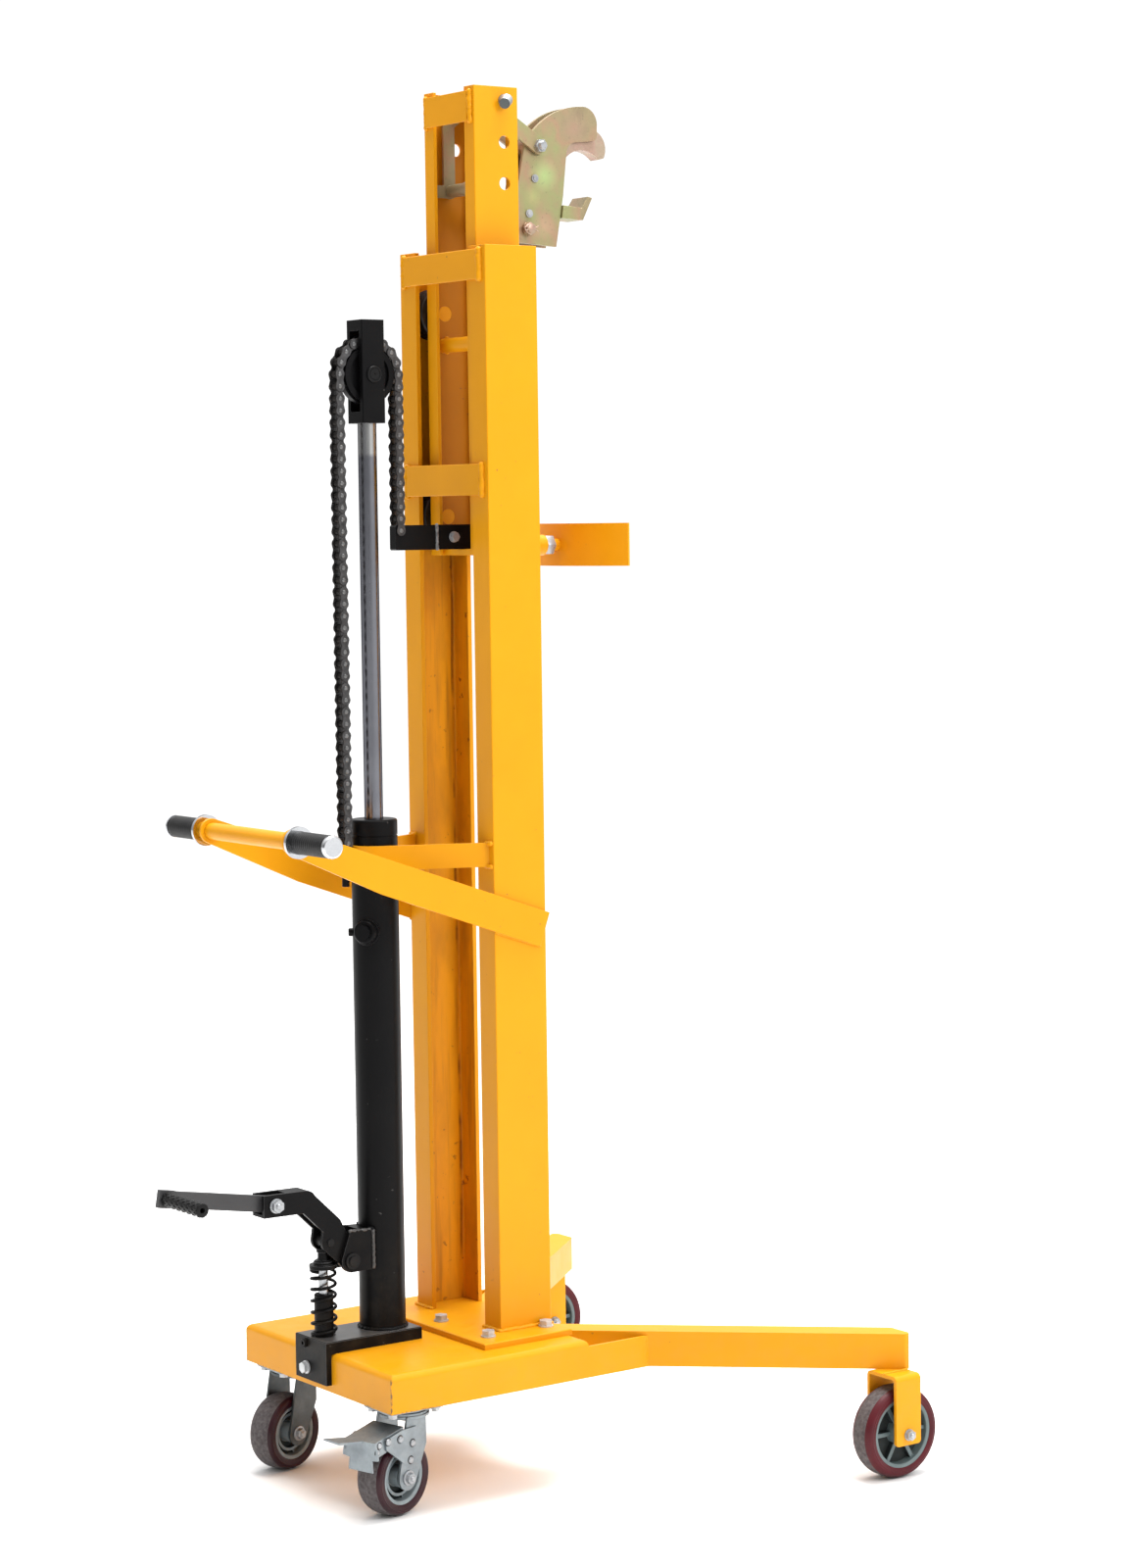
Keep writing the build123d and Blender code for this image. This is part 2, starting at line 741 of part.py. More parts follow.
with BuildPart() as piston_rod:
    with BuildSketch(Plane.XY.offset(piston_bottom)):
        with Locations((cylinder_x, 0)):
            Circle(bore_radius - slip)
    extrude(amount=piston_height)
    with BuildSketch(Plane.XY.offset(piston_bottom + piston_height)):
        with Locations((cylinder_x, 0)):
            Circle(rod_radius)
    extrude(amount=yoke_bottom + yoke_floor - 4 - piston_bottom - piston_height)
save(piston_rod, "piston_rod")

with BuildPart() as pulley_yoke:
    with BuildSketch(Plane.XY.offset(yoke_bottom)):
        with Locations((cylinder_x, 0)):
            Rectangle(yoke_x, yoke_y)
    extrude(amount=yoke_height)
    fillet(pulley_yoke.edges().filter_by(Axis.Z), 2)
    slot_height = yoke_height - yoke_floor - yoke_roof
    with BuildSketch(Plane.XY.offset(yoke_bottom + yoke_floor)):
        with Locations((cylinder_x, 0)):
            Rectangle(2 * yoke_x, yoke_slot)
    extrude(amount=slot_height, mode=Mode.SUBTRACT)
    with BuildSketch(Plane.XY.offset(yoke_bottom)):
        with Locations((cylinder_x, 0)):
            Circle(rod_radius + run_fit)
    extrude(amount=yoke_floor - 4 + run_fit, mode=Mode.SUBTRACT)
    with BuildSketch(Plane.XZ):
        with Locations((cylinder_x, pulley_z)):
            Circle(pulley_axle_radius + run_fit)
    extrude(amount=yoke_y, both=True, mode=Mode.SUBTRACT)
save(pulley_yoke, "pulley_yoke")

with BuildPart() as pulley_axle:
    with BuildSketch(Plane.XZ):
        with Locations((cylinder_x, pulley_z)):
            Circle(pulley_axle_radius)
    extrude(amount=yoke_y / 2 + 1, both=True)
    for way in (1, -1):
        with BuildSketch(side_plane(way * (yoke_y / 2 + 0.1))):
            with Locations((cylinder_x, pulley_z)):
                Circle(13)
        extrude(amount=-way * 3.5)
    chamfer(pulley_axle.faces().filter_by(Axis.Y).sort_by(Axis.Y)[0].edges(), 1)
    chamfer(pulley_axle.faces().filter_by(Axis.Y).sort_by(Axis.Y)[-1].edges(), 1)
save(pulley_axle, "pulley_axle")

with BuildPart() as chain_pulley:
    rib = chain_radius - chain_roller_radius - slip
    rim = chain_radius * cos(pi / (2 * wrap_links)) - plate_half_height - slip
    with BuildSketch(Plane.XZ):
        with Locations((cylinder_x, pulley_z)):
            Circle(rib)
    extrude(amount=inner_plate_y - slip, both=True)
    with BuildSketch(Plane.XZ):
        with Locations((cylinder_x, pulley_z)):
            Circle(rim)
            Circle(rim - 9, mode=Mode.SUBTRACT)
            Circle(pulley_axle_radius + 8)
    extrude(amount=outer_plate_y + plate_sheet, both=True)
    with BuildSketch(Plane.XZ):
        with Locations((cylinder_x, pulley_z)):
            Circle(pulley_axle_radius + run_fit)
    extrude(amount=yoke_y, both=True, mode=Mode.SUBTRACT)
save(chain_pulley, "chain_pulley")

stay_bottom, stay_height, stay_sheet, stay_y = 999.0, 39.0, 6.0, 108.0

with BuildPart() as cylinder_stays:
    # a strap round the back of the tube, whose ends lie along the tangents to the mast's flanges
    reach = (mast_rear - cylinder_x, stay_y)
    away = hypot(*reach)
    touch = tube_radius + stay_sheet / 2
    bearing = atan2(reach[1], reach[0]) + acos(touch / away)
    for side in (1, -1):
        end = (cylinder_x + touch * cos(bearing), side * touch * sin(bearing))
        start = (mast_rear, side * stay_y)
        away_from = ((start[0] - end[0]) / dist(start, end), (start[1] - end[1]) / dist(start, end))
        past = (start[0] + 12 * away_from[0], start[1] + 12 * away_from[1])
        middle = ((past[0] + end[0]) / 2, (past[1] + end[1]) / 2)
        angle = degrees(atan2(past[1] - end[1], past[0] - end[0]))
        with BuildSketch(Plane.XY.offset(stay_bottom)):
            with Locations(middle):
                Rectangle(dist(past, end), stay_sheet, rotation=angle)
            with Locations((mast_rear + 50, 0)):
                Rectangle(100, 2 * mast_half, mode=Mode.SUBTRACT)
        extrude(amount=stay_height)
    with BuildSketch(Plane.XY.offset(stay_bottom)):
        with Locations((cylinder_x, 0)):
            Circle(tube_radius + stay_sheet)
            Circle(tube_radius + 0.05, mode=Mode.SUBTRACT)
        front = cylinder_x + touch * cos(bearing)
        with Locations((front + 60, 0)):
            Rectangle(120, 4 * tube_radius, mode=Mode.SUBTRACT)
    extrude(amount=stay_height)
save(cylinder_stays, "cylinder_stays")

with BuildPart() as pump_barrel:
    with BuildSketch(Plane.XY.offset(base_top)):
        with Locations((pump_x, 0)):
            Circle(barrel_radius)
    extrude(amount=barrel_height)
    chamfer(pump_barrel.faces().sort_by(Axis.Z)[-1].edges(), 1.5)
    with BuildSketch(Plane.XY.offset(base_top + 2)):
        with Locations((pump_x, 0)):
            Circle(plunger_radius + run_fit)
    extrude(amount=barrel_height, mode=Mode.SUBTRACT)
save(pump_barrel, "pump_barrel")

cam_reach = dist((cam_x, cam_z), (pivot_x, pivot_z))
cam_angle = atan2(cam_z - pivot_z, cam_x - pivot_x)
stroke = cam_reach * (sin(cam_angle) - sin(cam_angle + radians(pedal_press)))

with BuildPart() as pump_plunger:
    plunger_bottom = base_top + 3 + stroke
    with BuildSketch(Plane.XY.offset(plunger_bottom)):
        with Locations((pump_x, 0)):
            Circle(plunger_radius)
    extrude(amount=cap_bottom - plunger_bottom)
    with BuildSketch(Plane.XY.offset(cap_bottom)):
        with Locations((pump_x, 0)):
            Circle(cap_radius)
    extrude(amount=cap_height - cap_step)
    with BuildSketch(Plane.XY.offset(cap_bottom + cap_height - cap_step)):
        with Locations((pump_x, 0)):
            Circle(cap_radius - 7)
    extrude(amount=cap_step)
    chamfer(pump_plunger.faces().sort_by(Axis.Z)[-1].edges(), 3)
    with BuildSketch(Plane.XY.offset(cap_top)):
        with Locations((pump_x, 0)):
            Circle(plunger_radius + 0.8)
    extrude(amount=cam_z - cam_radius - slip - cap_top)
    with BuildSketch(Plane.XY.offset(cam_z - cam_radius - slip)):
        with Locations((pump_x, 0)):
            Circle(10.5)
    extrude(amount=-6)
save(pump_plunger, "pump_plunger")

# Return spring: one tube swept along biarcs of half a turn


def helix_point(turn):
    radius = spring_outer - spring_wire
    rise = (spring_length - 2 * spring_wire - 0.2) / spring_turns
    angle = 2 * pi * turn
    return Vector(
        pump_x + radius * cos(angle), radius * sin(angle), base_top + 0.1 + spring_wire + rise * turn
    )


def helix_heading(turn):
    radius = spring_outer - spring_wire
    rise = (spring_length - 2 * spring_wire - 0.2) / spring_turns
    angle = 2 * pi * turn
    return Vector(-2 * pi * radius * sin(angle), 2 * pi * radius * cos(angle), rise).normalized()


def biarc_joint(start, leave, end, arrive):
    """The point where two tangent arcs meet between two points with given headings."""
    chord = end - start
    both = leave + arrive
    spread = 2 * (1 - leave.dot(arrive))
    along = chord.dot(both)
    length = (sqrt(along * along + spread * chord.dot(chord)) - along) / spread
    return (start + end + (leave - arrive) * length) * 0.5


with BuildPart() as pump_spring:
    with BuildLine() as coil:
        for half in range(2 * spring_turns):
            first, last = helix_point(half / 2), helix_point(half / 2 + 0.5)
            leave, arrive = helix_heading(half / 2), helix_heading(half / 2 + 0.5)
            meet = biarc_joint(first, leave, last, arrive)
            bend = TangentArc(first, meet, tangent=leave)
            TangentArc(meet, last, tangent=bend % 1)
    with BuildSketch(Plane(helix_point(0), z_dir=helix_heading(0))):
        Circle(spring_wire)
    sweep(path=coil.line)
    steps = [coil.line @ (k / 640) for k in range(641)]
    per_turn = 640 // spring_turns
    self_gap = min(
        (steps[a] - steps[b]).length - 2 * spring_wire
        for a in range(641)
        for b in range(a + per_turn // 2, min(641, a + 2 * per_turn))
    )
    print(f"pump_spring: {spring_turns} turns, least gap to itself {self_gap:.2f} mm")
save(pump_spring, "pump_spring")

# Brackets on the cylinder: the lever's lug and the chain's anchor

with BuildPart() as cylinder_brackets:
    lug_half = lever_half + slip + lug_sheet
    lug_back = cylinder_x - tube_radius + 9
    with BuildSketch(side_plane(lug_half)):
        with BuildLine():
            CenterArc((pivot_x, pivot_z), lug_eye, 0, 360)
            Polyline(
                (lug_back, lug_bottom), (lug_back, lug_bottom + lug_height),
                (pivot_x - 2, lug_bottom + lug_height + 3), close=True,
            )
        make_hull()
    extrude(amount=2 * lug_half)
    with BuildSketch(side_plane(lever_half + slip)):
        with Locations((pivot_x - 24, pivot_z)):
            Rectangle(2 * 42.5, 160)
    extrude(amount=2 * (lever_half + slip), mode=Mode.SUBTRACT)
    with BuildSketch(Plane.XZ):
        with Locations((pivot_x, pivot_z)):
            Circle(pivot_radius + run_fit)
    extrude(amount=lug_half + 1, both=True, mode=Mode.SUBTRACT)
    anchor_pin_z = pulley_z - back_links * pitch
    with BuildSketch(Plane.XY.offset(base_top)):
        with Locations((cylinder_x, 0)):
            Circle(tube_radius)
    extrude(amount=head_top, mode=Mode.SUBTRACT)
    shelf_top = anchor_pin_z - 24
    with BuildSketch(Plane.XY.offset(shelf_top)):
        with Locations(((chain_back_x - 14 + lug_back) / 2, 0)):
            Rectangle(lug_back - chain_back_x + 14, 30)
        with Locations((cylinder_x, 0)):
            Circle(tube_radius + stay_sheet, mode=Mode.SUBTRACT)
    extrude(amount=-14)
    with BuildSketch(Plane.XY.offset(shelf_top)):
        with Locations((chain_back_x, 0)):
            Circle(6)
    extrude(amount=-46)
    with BuildSketch(Plane.XY.offset(shelf_top - 14)):
        with Locations((chain_back_x, 0)):
            RegularPolygon(9.5, 6, major_radius=False)
    extrude(amount=-10)
    with BuildSketch(Plane.XY.offset(shelf_top)):
        with Locations((chain_back_x, 0)):
            Rectangle(15, 2 * (outer_plate_y - slip / 2))
    extrude(amount=32)
    with BuildSketch(Plane.XZ):
        with Locations((chain_back_x, anchor_pin_z)):
            Circle(chain_pin_radius + run_fit)
    extrude(amount=20, both=True, mode=Mode.SUBTRACT)
save(cylinder_brackets, "cylinder_brackets")

# Chain: plates, rollers and pin heads, one piece for each run and one over the pulley


def chain_run(pins, outer_first, end_pin=None):
    """Links through the pins in turn; end_pin is where a pin crosses the outer link's tongue."""
    reach = plate_half_height
    shape = [
        (pitch / 2 + reach, 0.42 * reach), (pitch / 2 + 0.42 * reach, reach),
        (-pitch / 2 - 0.42 * reach, reach), (-pitch / 2 - reach, 0.42 * reach),
        (-pitch / 2 - reach, -0.42 * reach), (-pitch / 2 - 0.42 * reach, -reach),
        (pitch / 2 + 0.42 * reach, -reach), (pitch / 2 + reach, -0.42 * reach),
    ]
    links = list(zip(pins[:-1], pins[1:]))
    outers = links[0 if outer_first else 1 :: 2]
    inners = links[1 if outer_first else 0 :: 2]

    def plates(chosen):
        for (x0, z0), (x1, z1) in chosen:
            turn = degrees(atan2(z1 - z0, x1 - x0))
            with Locations(Location(((x0 + x1) / 2, (z0 + z1) / 2, 0), (0, 0, turn))):
                Polygon(*shape, align=None)

    with BuildPart() as run:
        for way in (1, -1):
            with BuildSketch(side_plane(way * inner_plate_y)):
                plates(inners)
            extrude(amount=-way * plate_sheet)
            with BuildSketch(side_plane(way * outer_plate_y)):
                plates(outers)
            extrude(amount=-way * plate_sheet)
            with BuildSketch(side_plane(way * (outer_plate_y + plate_sheet))):
                with Locations(*[pin for link in outers for pin in link]):
                    RegularPolygon(chain_pin_radius, 6)
            extrude(amount=-way * chain_head)
        with BuildSketch(Plane.XZ):
            with Locations(*[pin for link in inners for pin in link]):
                RegularPolygon(chain_roller_radius, 8, rotation=22.5)
        extrude(amount=inner_plate_y + 0.5, both=True)
        if end_pin:
            with BuildSketch(Plane.XZ):
                with Locations(end_pin):
                    Circle(chain_pin_radius)
            extrude(amount=outer_plate_y + 0.5, both=True)
    return run


back_pins = [(chain_back_x, pulley_z - k * pitch) for k in range(back_links, -1, -1)]
front_pins = [(chain_front_x, pulley_z - k * pitch) for k in range(front_links + 1)]
wrap_pins = []
for k in range(wrap_links + 1):
    turn = pi - k * pi / wrap_links
    wrap_pins.append((cylinder_x + chain_radius * cos(turn), pulley_z + chain_radius * sin(turn)))

chain_back_run = chain_run(back_pins, True, back_pins[0])
save(chain_back_run, "chain_back_run")
chain_wrap = chain_run(wrap_pins, False)
save(chain_wrap, "chain_wrap")
chain_front_run = chain_run(front_pins, True, front_pins[-1])
save(chain_front_run, "chain_front_run")

# Foot lever and pedal

with BuildPart() as pedal_lever:
    with BuildSketch(side_plane(lever_half)):
        with BuildLine():
            CenterArc((pivot_x, pivot_z), 16, 0, 360)
            CenterArc((cam_x, cam_z), 16, 0, 360)
            CenterArc(knee, 17, 0, 360)
        make_hull()
        strut(knee, elbow, lever_height - 2)
        strut(elbow, fold_at, lever_height)
        with Locations(((lever_rear + fold_at[0]) / 2, fold_at[1])):
            Rectangle(fold_at[0] - lever_rear, lever_height)
    extrude(amount=2 * lever_half)
    inner = lever_half - lever_sheet
    with BuildSketch(side_plane(inner)):
        with BuildLine():
            CenterArc((pivot_x, pivot_z), 26, 0, 360)
            CenterArc((cam_x, cam_z), 30, 0, 360)
            CenterArc((knee[0] - 9, knee[1] - 10), 17, 0, 360)
        make_hull()
        strut((knee[0] - 8, knee[1] - 8), (elbow[0] - 8, elbow[1] - 8), lever_height - 2)
    extrude(amount=2 * inner, mode=Mode.SUBTRACT)
    jaw_floor = fold_at[1] - arm_height / 2 - slip
    with BuildSketch(side_plane(inner)):
        with Locations((fold_at[0] - 10, jaw_floor + 30)):
            Rectangle(60, 60)
    extrude(amount=2 * inner, mode=Mode.SUBTRACT)
    with BuildSketch(Plane.XZ):
        with Locations((pivot_x, pivot_z)):
            Circle(pivot_radius + run_fit)
        with Locations((cam_x, cam_z)):
            Circle(6 + run_fit)
        with Locations(fold_at):
            Circle(6 + run_fit)
    extrude(amount=lever_half + 1, both=True, mode=Mode.SUBTRACT)
save(pedal_lever, "pedal_lever")

with BuildPart() as lever_pins:
    with BuildSketch(Plane.XZ):
        with Locations((pivot_x, pivot_z)):
            Circle(pivot_radius)
    extrude(amount=lug_half + 6, both=True)
    for way in (1, -1):
        with BuildSketch(side_plane(way * (lug_half + slip))):
            with Locations((pivot_x, pivot_z)):
                Circle(13)
        extrude(amount=-way * 3)
    with BuildSketch(Plane.XZ):
        with Locations((cam_x, cam_z)):
            Circle(6)
    extrude(amount=lever_half + 2, both=True)
    with BuildSketch(Plane.XZ):
        with Locations((cam_x, cam_z)):
            Circle(cam_radius)
    extrude(amount=inner - slip, both=True)
    with Locations(Plane((fold_at[0], -lever_half, fold_at[1]), z_dir=(0, -1, 0))):
        add(hex_bolt(18, 7, 10.5, 6, 2 * lever_half, 9))
save(lever_pins, "lever_pins")

with BuildPart() as pedal_arm:
    boss_half = lever_half - lever_sheet - slip
    with BuildSketch(side_plane(arm_half)):
        strut(fold_at, pedal_at, arm_height)
        lean = degrees(atan2(pedal_at[1] - fold_at[1], pedal_at[0] - fold_at[0]))
        with Locations(pedal_at):
            Rectangle(arm_end, arm_end, rotation=lean)
    extrude(amount=2 * arm_half)
    with BuildSketch(side_plane(boss_half)):
        with Locations(fold_at):
            Circle(arm_height / 2 - 0.5)
    extrude(amount=2 * boss_half)
    with BuildSketch(Plane.XZ):
        with Locations(fold_at):
            Circle(6 + run_fit)
        with Locations(pedal_at):
            Circle(pedal_bar_radius - 3 + run_fit)
    extrude(amount=boss_half + 1, both=True, mode=Mode.SUBTRACT)
save(pedal_arm, "pedal_arm")

with BuildPart() as pedal_grip:
    with BuildSketch(side_plane(-arm_half)):
        with Locations(pedal_at):
            Circle(pedal_bar_radius)
    extrude(amount=pedal_bar_length - 2 * arm_half)
    chamfer(pedal_grip.faces().sort_by(Axis.Y)[0].edges(), 2)
    with BuildSketch(side_plane(arm_half + 2)):
        with Locations(pedal_at):
            Circle(pedal_bar_radius - 3)
    extrude(amount=2 * arm_half + 2)
    with BuildSketch(Plane(pedal_grip.faces().sort_by(Axis.Y)[0])):
        Circle(4)
    extrude(amount=-12, mode=Mode.SUBTRACT)
save(pedal_grip, "pedal_grip")

# Push handle

with BuildPart() as handle_arms:
    for side in (1, -1):
        with BuildSketch(side_plane(side * mast_half)):
            with BuildLine():
                Polyline((87, 919), (68, 865), (-232, 972), (handle_x, handle_z - 8), (handle_x, handle_z + 8), close=True)
                CenterArc((handle_x, handle_z), handle_eye, 0, 360)
            make_hull()
            with Locations((handle_x, handle_z)):
                Circle(handle_radius + run_fit, mode=Mode.SUBTRACT)
        extrude(amount=-side * handle_arm_sheet)
save(handle_arms, "handle_arms")

with BuildPart() as handle_tube:
    with BuildSketch(Plane.XZ):
        with Locations((handle_x, handle_z)):
            Circle(handle_radius)
            Circle(handle_radius - 2.5, mode=Mode.SUBTRACT)
    extrude(amount=handle_half, both=True)
save(handle_tube, "handle_tube")

with BuildPart() as handle_grips:
    for side in (1, -1):
        start = side * (grip_start + grip_ring_width)
        with BuildSketch(side_plane(start)):
            with Locations((handle_x, handle_z)):
                Circle(grip_radius)
        extrude(amount=-side * (handle_half - abs(start)))
        for k in range(5):
            with BuildSketch(side_plane(start + side * (12 + k * 17))):
                with Locations((handle_x, handle_z)):
                    Circle(grip_radius + 1.2)
            extrude(amount=-side * 5)
    with BuildSketch(Plane.XZ):
        with Locations((handle_x, handle_z)):
            Circle(handle_radius + run_fit)
    extrude(amount=handle_half + 1, both=True, mode=Mode.SUBTRACT)
save(handle_grips, "handle_grips")

with BuildPart() as grip_fittings:
    for side in (1, -1):
        with BuildSketch(side_plane(side * grip_start)):
            with Locations((handle_x, handle_z)):
                Circle(grip_ring_radius)
                Circle(handle_radius + run_fit, mode=Mode.SUBTRACT)
        extrude(amount=-side * grip_ring_width)
        with BuildSketch(side_plane(side * handle_half)):
            with Locations((handle_x, handle_z)):
                Circle(grip_radius + 1)
        extrude(amount=-side * grip_cap_length)
    fillet(grip_fittings.faces().sort_by(Axis.Y)[0].edges(), 3)
    fillet(grip_fittings.faces().sort_by(Axis.Y)[-1].edges(), 3)
save(grip_fittings, "grip_fittings")

# Carriage

pin_heights = [hang_at[1] - k * pin_hole_step for k in range(3)]

with BuildPart() as inner_channel_left:
    add(channel(
        inner_rear, inner_depth, inner_half, inner_flange, inner_web, inner_flange_sheet, inner_bottom, inner_top
    ))
    with BuildSketch(side_plane(inner_half - inner_web - 1)):
        with Locations(*[(hang_at[0], z) for z in pin_heights]):
            Circle(hang_radius + 0.2)
        with Locations(*[(roller_x, z) for z in roller_heights]):
            Circle(roller_pin_radius + run_fit)
    extrude(amount=-inner_web - 2, mode=Mode.SUBTRACT)
save(inner_channel_left, "inner_channel_left")

with BuildPart() as inner_channel_right:
    mirror(inner_channel_left.part, about=Plane.XZ)
save(inner_channel_right, "inner_channel_right")

rest_bar_bottom, rest_bar_height = 1482.0 + 17.0, 46.0
sleeve_z = rest_bottom + rest_height / 2

with BuildPart() as inner_crossbars:
    with BuildSketch(Plane.XY.offset(inner_cross_bottom)):
        with Locations((inner_rear - cross_sheet / 2, 0)):
            Rectangle(cross_sheet, 2 * inner_cross_half)
    extrude(amount=inner_cross_height)
    with BuildSketch(Plane.XZ):
        with Locations((roller_x - 4, tie_bar_z)):
            Circle(tie_bar_radius)
    extrude(amount=inner_half - inner_web, both=True)
    with BuildSketch(Plane.XY.offset(inner_bottom)):
        with Locations((inner_rear + inner_depth / 2, 0)):
            Rectangle(inner_depth - 2 * inner_flange_sheet - 9, 2 * (inner_half - inner_web))
    extrude(amount=floor_sheet)
    with BuildSketch(Plane.XY.offset(rest_bar_bottom)):
        with Locations((inner_front + cross_sheet / 2, 0)):
            Rectangle(cross_sheet, 2 * inner_cross_half)
    extrude(amount=rest_bar_height)
    with BuildSketch(Plane.YZ.offset(inner_front + cross_sheet)):
        with Locations((0, sleeve_z)):
            Circle(sleeve_radius)
    extrude(amount=sleeve_length)
    with BuildSketch(Plane.YZ.offset(inner_front + cross_sheet + 20)):
        with Locations((0, sleeve_z)):
            Circle(stud_radius + run_fit)
    extrude(amount=sleeve_length, mode=Mode.SUBTRACT)
save(inner_crossbars, "inner_crossbars")

bracket_rear = chain_front_x - 10
bracket_front = inner_rear + 52
bracket_height = 40.0
bracket_half = outer_plate_y - slip / 2
bracket_bolt = (inner_rear - 9, inner_bottom + floor_sheet + 20)

with BuildPart() as chain_bracket:
    with BuildSketch(side_plane(bracket_half)):
        with Locations(((bracket_rear + bracket_front) / 2, inner_bottom + floor_sheet + bracket_height / 2)):
            Rectangle(bracket_front - bracket_rear, bracket_height)
    extrude(amount=2 * bracket_half)
    chamfer(chain_bracket.edges().filter_by(Axis.Y).sort_by(Axis.X)[:2], 2)
    with BuildSketch(Plane.XY.offset(inner_bottom + floor_sheet)):
        with Locations((bracket_front + 4, 0)):
            Rectangle(8, 44)
    extrude(amount=bracket_height)
    with BuildSketch(Plane.XZ):
        with Locations(front_pins[-1]):
            Circle(chain_pin_radius + run_fit)
        with Locations(bracket_bolt):
            Circle(6 + bolt_gap)
    extrude(amount=bracket_half + 1, both=True, mode=Mode.SUBTRACT)
save(chain_bracket, "chain_bracket")

stud_nut_at = inner_front + cross_sheet + sleeve_length

with BuildPart() as carriage_fasteners:
    with Locations(Plane((bracket_bolt[0], -bracket_half, bracket_bolt[1]), z_dir=(0, -1, 0))):
        add(hex_bolt(19, 8, 11, 6, 2 * bracket_half, 9))
    with BuildSketch(Plane.YZ.offset(stud_nut_at)):
        with Locations((0, sleeve_z)):
            RegularPolygon(15, 6, major_radius=False)
            Circle(stud_radius + run_fit, mode=Mode.SUBTRACT)
    extrude(amount=rest_nut)
save(carriage_fasteners, "carriage_fasteners")

with BuildPart() as carriage_pins:
    with BuildSketch(Plane.XZ):
        with Locations(hang_at):
            Circle(hang_radius)
    extrude(amount=inner_half + 8, both=True)
    # the near end is turned back and down, so that the pin can't slide through
    with Locations((hang_at[0], -inner_half - 8, hang_at[1])):
        Sphere(hang_radius)
    with BuildSketch(Plane((hang_at[0], -inner_half - 8, hang_at[1]), z_dir=(-0.67, -0.59, -0.46))):
        Circle(hang_radius - 1)
    extrude(amount=15)
    # the lower pin sits in two straps on the upper one, whose feet bear on the rear flanges
    with BuildSketch(Plane.XZ):
        with Locations(lower_at):
            Circle(lower_pin_radius)
    extrude(amount=strap_in + strap_sheet + 3, both=True)
    for way in (1, -1):
        with BuildSketch(side_plane(way * strap_in)):
            with BuildLine():
                CenterArc(hang_at, 17, 0, 360)
                Polyline((lower_at[0] - 13, lower_at[1] + 103), (lower_at[0] + 9, lower_at[1] + 103))
            make_hull()
            with Locations((lower_at[0] - 2, lower_at[1] + 51)):
                Rectangle(22, 104)
            with Locations(lower_at):
                Circle(12)
            foot = inner_rear + inner_flange_sheet + slip
            with Locations(((foot + lower_at[0]) / 2, lower_at[1] - 1)):
                Rectangle(lower_at[0] - foot, 20)
        extrude(amount=-way * strap_sheet)
        with BuildSketch(side_plane(way * 9)):
            with Locations(lower_at):
                Circle(lower_pin_radius + 2.5)
        extrude(amount=-way * (strap_in - 9))
        for z in roller_heights:
            with BuildSketch(side_plane(way * (inner_half - inner_web))):
                with Locations((roller_x, z)):
                    Circle(roller_pin_radius)
            extrude(amount=-way * (inner_web + 2.5 + roller_width + 1))
save(carriage_pins, "carriage_pins")

for name, z in zip(("lower", "upper"), roller_heights):
    with BuildPart() as rollers:
        for way in (1, -1):
            with BuildSketch(side_plane(way * (inner_half + 2.5))):
                with Locations((roller_x, z)):
                    Circle(roller_radius)
                    Circle(roller_pin_radius + run_fit, mode=Mode.SUBTRACT)
            extrude(amount=-way * roller_width)
        chamfer(rollers.edges().filter_by(GeomType.CIRCLE).group_by(SortBy.RADIUS)[-1], 2)
    save(rollers, f"guide_rollers_{name}")

rest_centre = rest_back + rest_radius
with BuildPart() as drum_rest:
    with BuildSketch(Plane.XY.offset(rest_bottom)):
        with BuildLine():
            spread = asin(rest_half / rest_radius)
            near = [(rest_centre - rest_radius * cos(a), rest_radius * sin(a)) for a in (-spread, 0, spread)]
            back = rest_radius + rest_sheet
            far = [(rest_centre - back * cos(a), back * sin(a)) for a in (-spread, 0, spread)]
            ThreePointArc(*near)
            ThreePointArc(*far)
            Line(near[0], far[0])
            Line(near[2], far[2])
        make_face()
    extrude(amount=rest_height)
    with BuildSketch(Plane.YZ.offset(rest_back - rest_sheet + 2)):
        with Locations((0, sleeve_z)):
            Circle(stud_radius)
    extrude(amount=inner_front + cross_sheet + 24 - rest_back + rest_sheet - 2)
save(drum_rest, "drum_rest")

# Gripper

plate_in = head_gap / 2
plate_out = plate_in + head_sheet
link_in = plate_out + 3

with BuildPart() as grip_links:
    for way in (1, -1):
        with BuildSketch(side_plane(way * link_in)):
            strut(hang_at, head_at, link_width)
            with Locations(hang_at):
                Circle(17)
                Circle(hang_radius + run_fit, mode=Mode.SUBTRACT)
        extrude(amount=-way * link_sheet)
    with BuildSketch(Plane.XZ):
        with Locations(head_at):
            Circle(head_bolt_radius)
    extrude(amount=link_in + link_sheet + 9, both=True)
    for way in (1, -1):
        with BuildSketch(side_plane(way * (link_in + link_sheet))):
            with Locations(head_at):
                RegularPolygon(9.5, 6, major_radius=False)
        extrude(amount=-way * 7)
save(grip_links, "grip_links")

with BuildPart() as grip_beak:
    with BuildSketch(side_plane(beak_half)):
        with BuildLine():
            under = ThreePointArc((222, 2143), (258, 2158), (289, 2144))
            Line(under @ 1, (300, 2147))
            nose = ThreePointArc((300, 2147), (303, 2168), (286, 2190))
            brow = ThreePointArc(nose @ 1, (232, 2206), (164, 2178))
            Line(brow @ 1, (154, 2142))
            Line((154, 2142), under @ 0)
        make_face()
        with Locations(head_at):
            Circle(19)
            Circle(head_bolt_radius + run_fit, mode=Mode.SUBTRACT)
    extrude(amount=2 * beak_half)
save(grip_beak, "grip_beak")

rivet_at = (155.0, 2107.0)
stop_at = (143.0, 2050.0)

